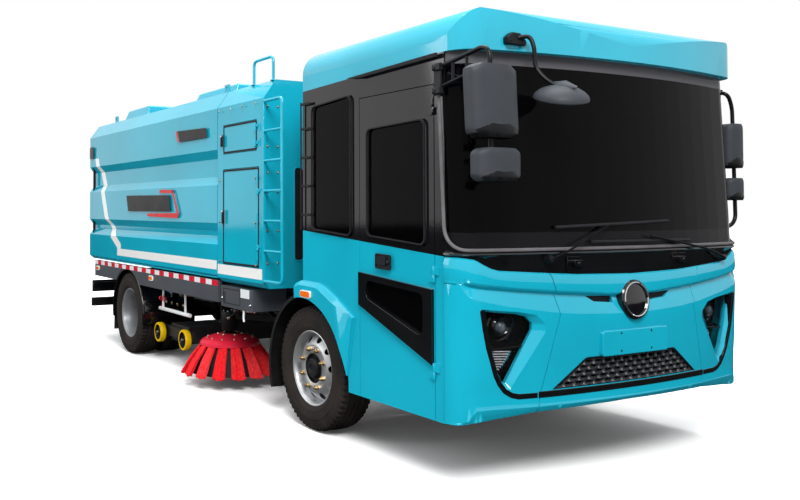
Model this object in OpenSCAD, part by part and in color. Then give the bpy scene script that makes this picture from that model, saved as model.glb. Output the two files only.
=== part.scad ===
// Street washing and sweeping truck: forward-control cab, two-axle chassis, tipping hopper,
// side brushes and a suction carriage. +X is forward, +Y is the vehicle's left, +Z is up,
// and the origin is on the ground under the middle of the vehicle.

/* [Overall] */
// Distance between the front and rear axles
wheelbase = 3700; // [3100:10:4500]
// Width over the body panels
body_w = 2400; // [2150:10:2900]
// Front axle to the foremost point, the round front-view mirror
front_reach = 2020; // [1950:5:2200]
// Rear axle to the back of the rear bumper
rear_overhang = 1420; // [1200:10:1700]
// Centre line to the outermost edge of each side mirror
mirror_reach = 1375; // [1330:5:1600]

/* [Wheels] */
// Outer diameter of a tyre
tyre_d = 867; // [800:1:900]
// Section width of a tyre
tyre_w = 262; // [225:1:280]
// Inner radius of a rim's barrel
barrel_r = 236; // [220:1:245]
// Distance between the centre planes of the front tyres
front_track = 2080; // [1900:5:2100]
// Distance between the centre planes of the outer rear tyres
rear_track = 2100; // [1950:5:2110]
// Distance between the centre planes of two twin tyres
twin_pitch = 300; // [290:1:320]
// Radius of a front wheel spindle
spindle_r = 45; // [35:1:55]
// Radius of the rear axle's hub journal
journal_r = 50; // [40:1:60]
// Radius of a kingpin
kingpin_r = 20; // [15:1:25]
// Wheel centre plane to kingpin
kingpin_inset = 150; // [140:1:165]

/* [Cab] */
// Front axle to the vertical seam at the cab's front corner
corner_ahead = 1473; // [1440:1:1500]
// Front axle to the nose at the centre line
nose_ahead = 1737; // [1690:1:1760]
// Radius of the cab's front corners in plan
corner_r = 160; // [140:1:190]
// Front axle back to the cab's rear face
cab_behind = 36; // [20:1:60]
// Thickness of the cab's sides, doors and front
cab_wall = 60; // [50:1:70]
// Length of a door along the cab's side
door_len = 724; // [680:1:740]
// Width of the pillar between door and corner seam
pillar_w = 88; // [80:1:100]
// Height of the cab's lower edge
cab_bottom = 369; // [350:1:390]
// Height of the door's upper edge
door_top = 2250; // [2200:1:2300]
// Height of the roof's lower edge at the cab's rear
roof_edge_rear = 2378; // [2350:1:2400]
// Height of the roof's lower edge at the windscreen
roof_edge_front = 2424; // [2400:1:2440]
// Height of the roof's crown
roof_top = 2660; // [2620:1:2720]
// Height of the side windows' belt line at the cab's rear
belt_rear = 1399; // [1380:1:1420]
// Height of the belt line at the corner seam
belt_front = 1285; // [1270:1:1300]
// Height of the windscreen's lower edge
screen_bottom = 1300; // [1290:1:1340]
// Height of the cowl's lower edge
cowl_bottom = 1215; // [1195:1:1240]
// Backward lean of the windscreen, in degrees
screen_lean = 3; // [2:0.5:5]
// Thickness of window glass
glass_t = 8; // [5:1:10]
// Radius of the wheel opening in the cab's side
arch_r = 530; // [510:1:545]
// Height of the wheel opening's centre
arch_z = 400; // [390:1:410]
// Height of the low floor's top
low_floor_top = 505; // [495:1:530]
// Height of the floor's top over the front axle
high_floor_top = 1025; // [1020:1:1060]
// Thickness of the cab floor
floor_t = 60; // [50:1:60]
// Gap round each door
door_gap = 5; // [5:1:8]
// Radius of the steering wheel's spindle
column_pin_r = 12; // [8:1:16]

/* [Chassis] */
// Distance over the outer faces of the frame rails
frame_w = 860; // [760:10:900]
// Width of a frame rail
rail_w = 80; // [70:1:90]
// Height of the frame rails' lower edge
rail_bottom = 600; // [590:1:620]
// Height of the frame rails' upper edge
rail_top = 840; // [820:1:850]
// Thickness of a rail's web and flanges
rail_t = 10; // [8:1:14]

/* [Service module] */
// Free gap between cab and service module
cab_gap = 579; // [540:1:620]
// Length of the service module
module_len = 815; // [780:1:850]
// Wall thickness of the service module
module_wall = 40; // [30:1:50]
// Height of the service module's lower edge
module_bottom = 936; // [920:1:950]
// Height of the shoulder where the body's side turns in to the roof
shoulder_z = 2405; // [2350:1:2450]
// Height of the body's flat roof
body_top = 2553; // [2500:1:2600]
// Width of the sloping shoulder
shoulder_w = 108; // [90:1:130]

/* [Hopper] */
// Free gap between service module and hopper
hopper_gap = 12; // [8:1:20]
// Rear axle to the back of the tailgate
hopper_behind = 1330; // [1150:10:1360]
// Wall thickness of the hopper over its corrugations
hopper_wall = 90; // [80:1:110]
// Depth of the corrugations in the hopper's side
groove_depth = 50; // [30:1:60]
// Height of the hopper's lower edge
hopper_bottom = 954; // [950:1:970]
// Thickness of the tailgate
tailgate_t = 100; // [80:1:120]
// Height of the hopper's tipping pivot
tip_z = 895; // [880:1:900]
// Tailgate's back face to the tipping pivot
tip_inset = 200; // [180:5:240]
// Radius of the tipping pins
tip_pin_r = 25; // [20:1:30]
// Tipping pivot forward to the lift cylinders' upper eyes
lift_eye_ahead = 1100; // [1050:5:1150]
// Tipping pivot forward to the lift cylinders' lower eyes
lift_base_ahead = 180; // [160:5:200]
// Height of the lift cylinders' upper eyes
lift_eye_z = 860; // [850:1:870]
// Height of the lift cylinders' lower eyes
lift_base_z = 550; // [540:1:560]
// Centre line to each lift cylinder
lift_y = 250; // [230:1:260]
// Radius of a lift cylinder's rod
lift_rod_r = 25; // [20:1:30]
// Radius of the shackle holes in the lifting lugs
lug_hole_r = 14; // [10:1:18]

/* [Sweeping gear] */
// Front axle back to a side brush's centre
brush_back = 1740; // [1700:5:1800]
// Centre line to a side brush's centre
brush_y = 930; // [880:5:960]
// Radius of a brush at its bristle tips
brush_tip_r = 370; // [330:5:390]
// Radius of a brush's plate
brush_plate_r = 265; // [230:5:290]
// Height of the bristle tips in the parked position
brush_tip_z = 90; // [60:5:120]
// Height of a brush plate's top
brush_top = 455; // [440:1:470]
// Front axle back to the brush arm's pivot
arm_back = 1150; // [1120:5:1200]
// Centre line to the brush arm's pivot
arm_y = 560; // [540:5:600]
// Radius of the brush arm's pivot pin
arm_pin_r = 20; // [15:1:25]
// Front axle back to the suction carriage's middle
nozzle_back = 2750; // [2700:5:2780]
// Length of the suction nozzle's box
nozzle_len = 440; // [380:5:460]
// Width of the suction nozzle's box
nozzle_w = 1960; // [1800:10:2000]
// Distance between a caster's front and rear wheels
caster_base = 630; // [600:5:650]
// Radius of a caster wheel
caster_r = 100; // [90:1:105]
// Height of the caster wheels' centres in the parked position
caster_z = 300; // [290:1:310]
// Radius of a caster wheel's axle
caster_pin_r = 12; // [8:1:15]
// Radius of a carriage lift rod
lift_guide_r = 15; // [12:1:20]

/* [Hidden] */
$fn = 48;

RIGHT = -1;
LEFT = 1;
SIDES = [RIGHT, LEFT];
// Running clearance of a pin in its bore, on the radius
run = 0.05;
// Gap between pieces that rest on each other but belong to different bodies
rest_gap = 0.3;
// Overlap that makes two pieces of one solid fuse
bite = 1;

half_w = body_w / 2;
front_axle_x = (wheelbase + rear_overhang - front_reach) / 2;
rear_axle_x = front_axle_x - wheelbase;
axle_z = tyre_d / 2;
seam_x = front_axle_x + corner_ahead;
nose_x = front_axle_x + nose_ahead;
cab_back_x = front_axle_x - cab_behind;
door_front_x = seam_x - pillar_w;
door_rear_x = door_front_x - door_len;
inner_w = half_w - cab_wall;
module_front_x = cab_back_x - cab_gap;
module_rear_x = module_front_x - module_len;
hopper_front_x = module_rear_x - hopper_gap;
hopper_rear_x = rear_axle_x - hopper_behind;
gate_x = hopper_rear_x + tailgate_t;
tip_x = hopper_rear_x + tip_inset;
bumper_x = rear_axle_x - rear_overhang;
rail_y = frame_w / 2;
rail_rear_x = tip_x - 60;
rail_front_x = front_axle_x + 560;
low_rail_front_x = seam_x + 60;
low_rail_top = low_floor_top - floor_t;
low_rail_bottom = low_rail_top - 55;
kingpin_y = front_track / 2 - kingpin_inset;
liner_r = arch_r + 15;
liner_t = 10;
liner_in_y = kingpin_y - 250;
brush_x = front_axle_x - brush_back;
arm_x = front_axle_x - arm_back;
nozzle_x = front_axle_x - nozzle_back;
caster_y = nozzle_w / 2 + 85;
rail_skirt_y = half_w - 45;
tool_box_w = 330;
outrigger_z = 780;
// Radius inside the rear mudguards, and where an outrigger meets a guard's outer face
guard_r = tyre_d / 2 + 32;
guard_t = 10;
guard_seat = sqrt(pow(guard_r + guard_t, 2) - pow(outrigger_z - axle_z, 2)) + 0.2;

// Plan curve of the cab's nose: a large arc that meets two corner arcs
nose_depth = nose_ahead - corner_ahead;
corner_y = half_w - corner_r;
nose_r = (pow(nose_depth, 2) + pow(corner_y, 2) - pow(corner_r, 2)) / (2 * (nose_depth - corner_r));
nose_cx = nose_x - nose_r;
meet_angle = atan2(corner_y, seam_x - nose_cx);

// Height of the belt line and of the roof's edge at a distance along the cab
function belt(x) = belt_rear + (belt_front - belt_rear) * (x - cab_back_x) / (seam_x - cab_back_x);
function roof_edge(x) = roof_edge_rear
    + (roof_edge_front - roof_edge_rear) * (x - cab_back_x) / (seam_x - cab_back_x);
// Distance of the nose curve along X at a distance from the centre line
function nose_at(y) = nose_cx + sqrt(pow(nose_r, 2) - pow(y, 2));

paint = "#2bb5d3";
paint_dark = "#0a8fb8";
black = "#17181b";
grey = "#3d4148";
steel = "#8d9196";
rubber = "#1d1d1f";

// ---------- shared shapes ----------

// Box between two corners
module span(a, b) {
    translate(a) cube(b - a);
}

// Round bar between two points
module rod(a, b, d) {
    v = b - a;
    translate(a) rotate([0, acos(v[2] / norm(v)), atan2(v[1], v[0])]) cylinder(d = d, h = norm(v));
}

// Bar through a list of points, with a ball a little over the bar's size at each bend
module bent_rod(points, d) {
    for (i = [1:len(points) - 1])
        rod(points[i - 1], points[i], d);
    for (i = [1:len(points) - 2])
        translate(points[i]) sphere(d = d + 3);
}

// Children drawn on the right and mirrored to the left
module both_sides() {
    children();
    mirror([0, 1, 0]) children();
}

// Cylinder along Y from y0 to y1
module y_bar(x, z, y0, y1, r) {
    translate([x, y0, z]) rotate([-90, 0, 0]) cylinder(r = r, h = y1 - y0);
}

// Outline in X and Z extruded through the thickness of a side, y0 and y1 measured outward
module side_plate(side, y0, y1) {
    scale_y = side == LEFT ? 1 : -1;
    mirror([0, scale_y == 1 ? 0 : 1, 0])
        translate([0, y1, 0]) rotate([90, 0, 0]) linear_extrude(y1 - y0) children();
}

// Outline in Y and Z extruded from x0 to x1
module cross_section(x0, x1) {
    translate([x0, 0, 0]) rotate([90, 0, 90]) linear_extrude(x1 - x0) children();
}

// Outward knuckle hinge: the knuckle at the axis and the leaf that joins it to its panel
module hinge_leaf(axis_x, side, z0, z1, reach) {
    y0 = half_w - bite;
    axis_y = half_w + 9;
    translate([axis_x, side * axis_y, z0]) cylinder(r = 8, h = z1 - z0);
    leaf_y0 = side == LEFT ? y0 : -(half_w + 9);
    span([min(axis_x, axis_x + reach), leaf_y0, z0],
        [max(axis_x, axis_x + reach), leaf_y0 + 9 + bite, z1]);
}

// ---------- wheels and axles ----------

// Half section of a tyre, radius against distance outward
module tyre_section(centre) {
    r = tyre_d / 2;
    w = tyre_w / 2;
    translate([0, centre]) polygon([[barrel_r + 12, 24 - w], [barrel_r + 70, 2 - w], [r - 110, -w],
        [r - 40, 8 - w], [r - 10, 26 - w], [r, 48 - w], [r, w - 48], [r - 10, w - 26],
        [r - 40, w - 8], [r - 110, w], [barrel_r + 70, w - 2], [barrel_r + 12, w - 24]]);
}

// Half section of a rim's barrel
module barrel_section(centre) {
    w = tyre_w / 2 - 22;
    translate([barrel_r, centre - w]) square([16, 2 * w]);
    for (s = [-1, 1])
        translate([barrel_r, centre + s * (w - 5) - 5]) square([26, 10]);
}

// Turns a section that was drawn along +Z so that it faces outward at one side's wheel
module at_wheel(side, x, y) {
    translate([x, side * y, axle_z]) rotate([-90 * side, 0, 0]) children();
}

module front_wheel(side) {
    color(rubber) at_wheel(side, front_axle_x, front_track / 2) rotate_extrude($fn = 96) {
        tyre_section(0);
        barrel_section(0);
        bore = spindle_r + run;
        polygon([[bore, -30], [85, -30], [85, 52], [130, 64], [200, 52], [barrel_r + bite, 44],
            [barrel_r + bite, 60], [202, 70], [130, 84], [100, 96], [bore, 96]]);
    }
}

module rear_wheels(side) {
    color(rubber) at_wheel(side, rear_axle_x, rear_track / 2 - twin_pitch / 2)
        rotate_extrude($fn = 96) {
            for (c = [-1, 1]) {
                tyre_section(c * twin_pitch / 2);
                barrel_section(c * twin_pitch / 2);
                polygon([[190, 0], [190, c * 14], [barrel_r + bite, c * 64], [barrel_r + bite, c * 46]]);
            }
            bore = journal_r + run;
            translate([bore, -14]) square([150, 28]);
            translate([bore, -60]) square([58, 180]);
        }
}

module rear_wheels_right() { rear_wheels(RIGHT); }
module rear_wheels_left() { rear_wheels(LEFT); }
module front_wheel_right() { front_wheel(RIGHT); }
module front_wheel_left() { front_wheel(LEFT); }

// Steering knuckle: two lugs round the kingpin, a backbone and the wheel's spindle
module knuckle(side) {
    color(black) {
        difference() {
            union() {
                for (z = [axle_z - 95, axle_z + 55])
                    translate([front_axle_x, side * kingpin_y, z]) cylinder(r = 45, h = 40);
                translate([front_axle_x - 40, side * (kingpin_y + 67) - 17, axle_z - 95]) cube([80, 34, 190]);
                for (z = [axle_z - 95, axle_z + 55])
                    translate([front_axle_x - 35, min(side * kingpin_y, side * (kingpin_y + 60)), z])
                        cube([70, 60, 40]);
                translate([front_axle_x - 190, side * (kingpin_y + 20) - 17, axle_z - 95])
                    cube([180, 34, 34]);
            }
            translate([front_axle_x, side * kingpin_y, axle_z - 120]) cylinder(r = kingpin_r + run, h = 240);
        }
        y0 = kingpin_y + 70;
        y1 = front_track / 2 + 90;
        y_bar(front_axle_x, axle_z, min(side * y0, side * y1), max(side * y0, side * y1), spindle_r);
    }
}
module knuckle_right() { knuckle(RIGHT); }
module knuckle_left() { knuckle(LEFT); }

module leaf_spring(x, half_len, z0, hanger_top) {
    span([x - half_len, -435, z0], [x + half_len, -365, z0 + 55]);
    for (s = [-1, 1])
        span([x + s * (half_len - 40) - 35, -430, z0 + 40], [x + s * (half_len - 40) + 35, -360, hanger_top]);
}

module front_axle() {
    color(black) {
        span([front_axle_x - 45, -640, 300], [front_axle_x + 45, 640, 400]);
        both_sides() {
            span([front_axle_x - 40, 36 - kingpin_y, axle_z - 48], [front_axle_x + 40, -600, axle_z + 45]);
            translate([front_axle_x, -kingpin_y, axle_z - 48]) cylinder(r = 42, h = 96);
            translate([front_axle_x, -kingpin_y, axle_z - 100]) cylinder(r = kingpin_r, h = 200);
            leaf_spring(front_axle_x, 460, 395, rail_bottom);
        }
    }
}

module rear_axle() {
    journal_out = rear_track / 2 - twin_pitch / 2 + 110;
    drum_y = rear_track / 2 - twin_pitch - tyre_w / 2 - 15;
    color(black) {
        y_bar(rear_axle_x, axle_z, -drum_y, drum_y, 85);
        y_bar(rear_axle_x, axle_z, -journal_out, journal_out, journal_r);
        intersection() {
            translate([rear_axle_x, 0, axle_z]) sphere(r = 195);
            span([rear_axle_x - 200, -160, 200], [rear_axle_x + 200, 160, 640]);
        }
        y_bar(rear_axle_x + 60, axle_z + 20, -60, 330, 120);
        both_sides() leaf_spring(rear_axle_x, 620, 500, rail_bottom);
    }
}

module battery_pack() {
    color(grey) {
        // The lower part stands between the wheel liners
        clear_z = arch_z + liner_r + liner_t + 15;
        span([module_front_x + 45, 10 - liner_in_y, rail_top], [cab_back_x - 60, liner_in_y - 10, clear_z + bite]);
        span([module_front_x + 45, -760, clear_z], [cab_back_x - 60, 760, 2180]);
    }
}

// ---------- chassis ----------

module rail(x0, x1, z0, z1) {
    difference() {
        span([x0, -rail_y, z0], [x1, rail_w - rail_y, z1]);
        span([x0 - bite, rail_t - rail_y, z0 + rail_t], [x1 + bite, rail_w - rail_y + bite, z1 - rail_t]);
    }
}

// Pin and bracket that carry the hopper at one rear corner
module tip_bracket() {
    y_bar(tip_x, tip_z, -rail_y - 50, -rail_y + bite, tip_pin_r);
    y_bar(tip_x, tip_z, -rail_y, 30 - rail_y, 45);
    span([tip_x - 45, -rail_y, rail_bottom], [tip_x + 45, 30 - rail_y, tip_z]);
}

// Socket for a lift cylinder's lower eye: two cheeks and a pin
module lift_base() {
    x = tip_x + lift_base_ahead;
    for (y = [-lift_y - 60, -lift_y + 45])
        span([x - 130, y, lift_base_z - 40], [x + 40, y + 15, rail_bottom + 60]);
    y_bar(x, lift_base_z, -lift_y - 60, -lift_y + 60, 15);
}

module chassis_frame() {
    color(black) {
        both_sides() {
            rail(rail_rear_x, rail_front_x, rail_bottom, rail_top);
            span([rail_front_x - 80, -rail_y, low_rail_bottom], [rail_front_x, rail_w - rail_y, rail_top]);
            span([rail_front_x - bite, -rail_y, low_rail_bottom],
                [low_rail_front_x, rail_w - rail_y, low_rail_top]);
            // Cab mounts over the front axle
            for (x = [cab_back_x + 10, rail_front_x - 90])
                span([x, -rail_y, rail_top - bite], [x + 80, rail_w - rail_y, high_floor_top - floor_t]);
            // Service module mounts
            for (x = [module_rear_x + 40, module_front_x - 120])
                span([x, -rail_y, rail_top - bite], [x + 80, rail_w - rail_y, module_bottom]);
            // Hopper rest pads
            for (x = [hopper_front_x - 120, rear_axle_x + 420])
                span([x, -rail_y, rail_top - bite], [x + 80, rail_w - rail_y, 850 - rest_gap]);
            // Outriggers that carry the side rails
            for (x = [nozzle_x + 430, nozzle_x - 120, rear_axle_x + guard_seat, rear_axle_x - guard_seat - 50])
                span([x, -rail_skirt_y, outrigger_z], [x + 50, bite - rail_y, outrigger_z + 50]);
            // Outriggers that carry the tool box
            for (x = [module_rear_x + 60, module_rear_x + 500])
                span([x, tool_box_w - half_w, outrigger_z], [x + 50, bite - rail_y, outrigger_z + 50]);
            tip_bracket();
            lift_base();
            // Brush arm bracket with its pivot pin
            span([arm_x - 50, -arm_y - 45, 650], [arm_x + 50, bite - rail_y, 700]);
            translate([arm_x, -arm_y, 540]) cylinder(r = arm_pin_r, h = 112);
            translate([arm_x, -arm_y, 540]) cylinder(r = 34, h = 15);
            // Guide of the suction carriage's lift rod
            difference() {
                union() {
                    translate([nozzle_x, -520, 560]) cylinder(r = 40, h = 270);
                    span([nozzle_x - 35, -500, 700], [nozzle_x + 35, bite - rail_y, 800]);
                }
                translate([nozzle_x, -520, 550]) cylinder(r = lift_guide_r + run, h = 270);
            }
        }
        // Crossmembers
        for (x = [rail_front_x - 120, arm_x + 150, nozzle_x + 500, rear_axle_x + 420])
            span([x, -rail_y + rail_t - bite, 690], [x + 60, rail_y - rail_t + bite, 770]);
        span([tip_x + lift_base_ahead - 130, -rail_y + rail_t - bite, rail_bottom + 10],
            [tip_x + lift_base_ahead - 70, rail_y - rail_t + bite, rail_bottom + 70]);
        span([rail_rear_x, -rail_y + rail_t - bite, 640], [rail_rear_x + 60, rail_y - rail_t + bite, 800]);
        span([low_rail_front_x - 60, -880, low_rail_bottom], [low_rail_front_x, 880, low_rail_top]);
    }
}

module front_mudguards() {
    color(black) both_sides() {
        translate([front_axle_x, -liner_in_y, arch_z]) rotate([90, 0, 0]) {
            // Liner under the cab, and its open tail behind the wheel
            rotate_extrude(angle = 198, start = 2, $fn = 96)
                translate([liner_r, 0]) square([liner_t, inner_w - liner_in_y]);
            rotate_extrude(angle = 102, start = 98, $fn = 96) {
                translate([liner_r, inner_w - liner_in_y - bite]) square([liner_t, 46]);
                translate([liner_r - 10, inner_w - liner_in_y + 38]) square([liner_t + 18, 7]);
            }
        }
        // Hanger under the cab floor
        span([front_axle_x - 40, 80 - inner_w, arch_z + liner_r + 3],
            [front_axle_x + 40, 140 - inner_w, high_floor_top - floor_t]);
    }
}

module rear_mudguards() {
    y0 = rear_track / 2 - twin_pitch - tyre_w / 2 - 10;
    y1 = half_w - 8;
    color(black) both_sides() translate([rear_axle_x, 0, axle_z]) rotate([90, 0, 0])
        translate([0, 0, y0]) rotate_extrude(angle = 200, start = -10, $fn = 96) {
            translate([guard_r, 0]) square([guard_t, y1 - y0]);
            translate([guard_r - 8, y1 - y0 - 6]) square([guard_t + 8, 6]);
        }
}

// ---------- cab ----------

// Plan outline of the cab, set in from its outer faces by t: two corner arcs and the nose arc
module cab_plan(t) {
    r = corner_r - t;
    n = nose_r - t;
    w = half_w - t;
    corner_steps = 8;
    nose_steps = 16;
    a = [for (i = [0:corner_steps]) meet_angle + (90 - meet_angle) * i / corner_steps];
    polygon(concat([[cab_back_x, -w]],
        [for (i = [corner_steps:-1:0]) [seam_x + r * cos(a[i]), -corner_y - r * sin(a[i])]],
        [for (i = [1:nose_steps - 1]) let (b = meet_angle * (2 * i / nose_steps - 1))
            [nose_cx + n * cos(b), n * sin(b)]],
        [for (i = [0:corner_steps]) [seam_x + r * cos(a[i]), corner_y + r * sin(a[i])]],
        [[cab_back_x, w]]));
}

// Part of the cab's front shell between two heights
module nose_shell(t, z0, z1) {
    translate([0, 0, z0]) linear_extrude(z1 - z0) difference() {
        intersection() {
            cab_plan(0);
            translate([seam_x, -half_w]) square([nose_ahead, body_w]);
        }
        cab_plan(t);
    }
}

module cab_floor() {
    step_x = front_axle_x + 600;
    color(grey) {
        translate([0, 0, low_floor_top - floor_t]) linear_extrude(floor_t) intersection() {
            cab_plan(cab_wall);
            translate([step_x - bite, -half_w]) square([seam_x + 80 - step_x, body_w]);
        }
        span([rail_front_x + rest_gap, -inner_w, low_floor_top - floor_t], [step_x, inner_w, high_floor_top]);
        span([cab_back_x, -inner_w, high_floor_top - floor_t], [step_x, inner_w, high_floor_top]);
    }
}

module cab_rear_wall() {
    color(black) span([cab_back_x, -inner_w, high_floor_top], [cab_back_x + 50, inner_w, roof_edge_rear]);
}

// Outline of the quarter window
module quarter_outline() {
    x0 = front_axle_x + 100;
    x1 = front_axle_x + 575;
    polygon([[x0, belt(x0) + 20], [x1, belt(x1) + 20], [x1, roof_edge(x1) - 110], [x0, roof_edge(x0) - 125]]);
}

module cab_sides() {
    color(paint) for (side = SIDES) side_plate(side, inner_w, half_w) difference() {
        polygon([[cab_back_x, arch_z], [cab_back_x, roof_edge_rear], [seam_x, roof_edge_front],
            [seam_x, cab_bottom], [front_axle_x, cab_bottom], [front_axle_x, arch_z]]);
        translate([front_axle_x, arch_z]) circle(r = arch_r, $fn = 96);
        translate([cab_back_x - bite, 0]) square([cab_behind + bite, arch_z + arch_r - 5]);
        translate([door_rear_x - door_gap, 0]) square([door_len + 2 * door_gap, door_top + door_gap]);
        quarter_outline();
    }
    // Hinge knuckles on the front pillars
    color(black) for (side = SIDES, z = [640, 1180, 2120])
        hinge_leaf(door_front_x + door_gap / 2, side, z, z + 50, 40);
}

module quarter_glass() {
    color(black) for (side = SIDES) side_plate(side, half_w - 2 - glass_t, half_w - 2) quarter_outline();
}

// Upper and lower window of a door
module door_window() {
    x0 = door_rear_x + 90;
    x1 = door_front_x - 74;
    polygon([[x0, belt(x0) + 42], [x1, belt(x1) + 42], [x1, door_top - 184], [x0, door_top - 200]]);
}
module foot_window() {
    x0 = door_rear_x + 83;
    x1 = door_front_x - 80;
    polygon([[x0, 994], [x1, 810], [x1, 1073], [x0, 1113]]);
}

module door(side) {
    color(paint) side_plate(side, inner_w, half_w) difference() {
        translate([door_rear_x, cab_bottom]) square([door_len - door_gap / 2, door_top - cab_bottom]);
        door_window();
        foot_window();
    }
    color(black) for (z = [640, 1180, 2120])
        hinge_leaf(door_front_x + door_gap / 2, side, z - 40 - rest_gap, z - rest_gap, -40);
}
module door_right() { door(RIGHT); }
module door_left() { door(LEFT); }

module door_glass(side) {
    color(black) side_plate(side, half_w - 2 - glass_t, half_w - 2) {
        door_window();
        foot_window();
    }
}
module door_glass_right() { door_glass(RIGHT); }
module door_glass_left() { door_glass(LEFT); }

// Cross-section of the roof's outer or inner skin
module roof_section(t) {
    r = 170 - t;
    x = half_w - t;
    z = roof_top - t;
    translate([r - x, 0]) square([2 * (x - r), z]);
    for (s = SIDES)
        translate([s * (x - r), z - r]) circle(r = r);
    translate([-x, 0]) square([2 * x, z - r]);
}

// Side outline of the roof's outer or inner skin
module roof_profile(t) {
    front_r = 150 - t;
    rear_r = 70 - t;
    x1 = nose_x - t - front_r;
    x0 = cab_back_x + t + rear_r;
    z = roof_top - t;
    translate([x0, z - rear_r]) circle(r = rear_r);
    translate([x1, z - front_r]) circle(r = front_r);
    translate([x0, z - front_r]) square([x1 - x0, front_r]);
    translate([x0 - rear_r, 0]) square([x1 + front_r - x0 + rear_r, z - front_r]);
    translate([x0 - rear_r, 0]) square([rear_r + 1, z - rear_r]);
}

module roof_block(t) {
    intersection() {
        linear_extrude(roof_top) difference() {
            cab_plan(t);
            translate([cab_back_x - bite, -half_w - bite]) square([t + bite, body_w + 2 * bite]);
        }
        cross_section(cab_back_x, nose_x) roof_section(t);
        side_plate(LEFT, -half_w, half_w) roof_profile(t);
    }
}

module cab_roof() {
    color(paint) difference() {
        roof_block(0);
        roof_block(cab_wall);
        // Everything below the roof's sloping lower edge
        side_plate(LEFT, -half_w - bite, half_w + bite)
            polygon([[cab_back_x - bite, 0], [cab_back_x - bite, roof_edge_rear], [cab_back_x, roof_edge_rear],
                [seam_x, roof_edge_front], [nose_x + bite, roof_edge_front], [nose_x + bite, 0]]);
    }
}

module windscreen() {
    color(black) intersection() {
        translate([seam_x, 0, screen_bottom]) rotate([0, -screen_lean, 0])
            translate([-seam_x, 0, -screen_bottom]) difference() {
                nose_shell(12, screen_bottom - 40, roof_edge_front + 60);
            }
        span([seam_x, -half_w, screen_bottom], [nose_x, half_w, roof_edge_front]);
    }
}

module cowl() {
    color(black) {
        nose_shell(cab_wall, cowl_bottom, screen_bottom);
    }
}

// Outline of a headlight seen from the front, for one side
module headlight_outline() {
    polygon([[-1070, 1000], [-700, 960], [-672, 880], [-860, 560], [-905, 560]]);
}

module grille_outline() {
    polygon([[-372, 708], [372, 708], [585, 535], [-585, 535]]);
}

module front_fascia() {
    color(paint) difference() {
        nose_shell(cab_wall, cab_bottom, cowl_bottom);
        cross_section(seam_x + 40, nose_x + bite) {
            headlight_outline();
            mirror([1, 0]) headlight_outline();
            grille_outline();
        }
    }
}

module headlights() {
    color(steel) intersection() {
        nose_shell(cab_wall, cab_bottom, cowl_bottom);
        cross_section(seam_x + 40, nose_x + bite) {
            headlight_outline();
            mirror([1, 0]) headlight_outline();
        }
    }
}

module lower_grille() {
    color(black) intersection() {
        nose_shell(30, cab_bottom, cowl_bottom);
        cross_section(seam_x + 40, nose_x + bite) grille_outline();
    }
}

// Wiper: pivot on the cowl, arm up to the blade's middle, blade along the glass
module wiper(pivot_y, mid_y, mid_z, blade_half) {
    pivot = [nose_at(abs(pivot_y) - 15) + rest_gap, pivot_y, cowl_bottom + 35];
    // The blade's back lies just ahead of the glass at the centre line
    mid = [nose_x - (mid_z - 8 - screen_bottom) * tan(screen_lean) + 12.5, mid_y, mid_z];
    translate(pivot) rotate([0, 90, 0]) cylinder(d = 30, h = 46);
    rod([pivot[0] + 34, pivot_y, pivot[2]], mid, 16);
    span([mid[0] - 12, mid_y - blade_half, mid_z - 8], [mid[0] + 8, mid_y + blade_half, mid_z + 8]);
}

module wipers() {
    color(black) {
        wiper(-740, -170, 1475, 430);
        wiper(860, 270, 1370, 430);
    }
}

module dashboard() {
    color(grey) {
        at_column() {
            translate([0, 0, -190]) cylinder(r = 30, h = 168);
            translate([0, 0, -40]) cylinder(r = column_pin_r, h = 44);
        }
        span([seam_x - 210, -1110, 1000], [seam_x + 30, 1110, 1230]);
        span([door_front_x + 12, -inner_w, 1030], [seam_x, inner_w, 1200]);
        span([seam_x - 100, -180, low_floor_top], [seam_x + 20, 180, 1000 + bite]);
    }
}

// Children drawn round the steering column's axis, with the wheel's middle at the origin
module at_column() {
    translate([seam_x - 320, 560, 1310]) rotate([0, -35, 0]) children();
}

module steering_wheel() {
    color(black) at_column() difference() {
        union() {
            rotate_extrude($fn = 64) translate([210, 0]) circle(r = 15, $fn = 24);
            cylinder(r = 55, h = 30, center = true);
            for (a = [90, 210, 330])
                rotate([0, 0, a]) translate([0, -14, -7]) cube([205, 28, 14]);
        }
        translate([0, 0, -16]) cylinder(r = column_pin_r + run, h = 22);
    }
}

// Seat with its pedestal, for a centre line at y
module seat(y) {
    x = front_axle_x + 810;
    span([x - 170, y - 200, low_floor_top], [x + 190, y + 200, high_floor_top + 20]);
    span([x - 250, y - 250, high_floor_top + 5], [x + 250, y + 250, 1140]);
    span([x - 360, y - 240, 1060], [x - 240, y + 240, 1700]);
    span([x - 350, y - 130, 1690], [x - 260, y + 130, 1900]);
}

module seats() {
    color(grey) for (y = [-560, 560]) seat(y);
}

// ---------- mirrors ----------

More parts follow.
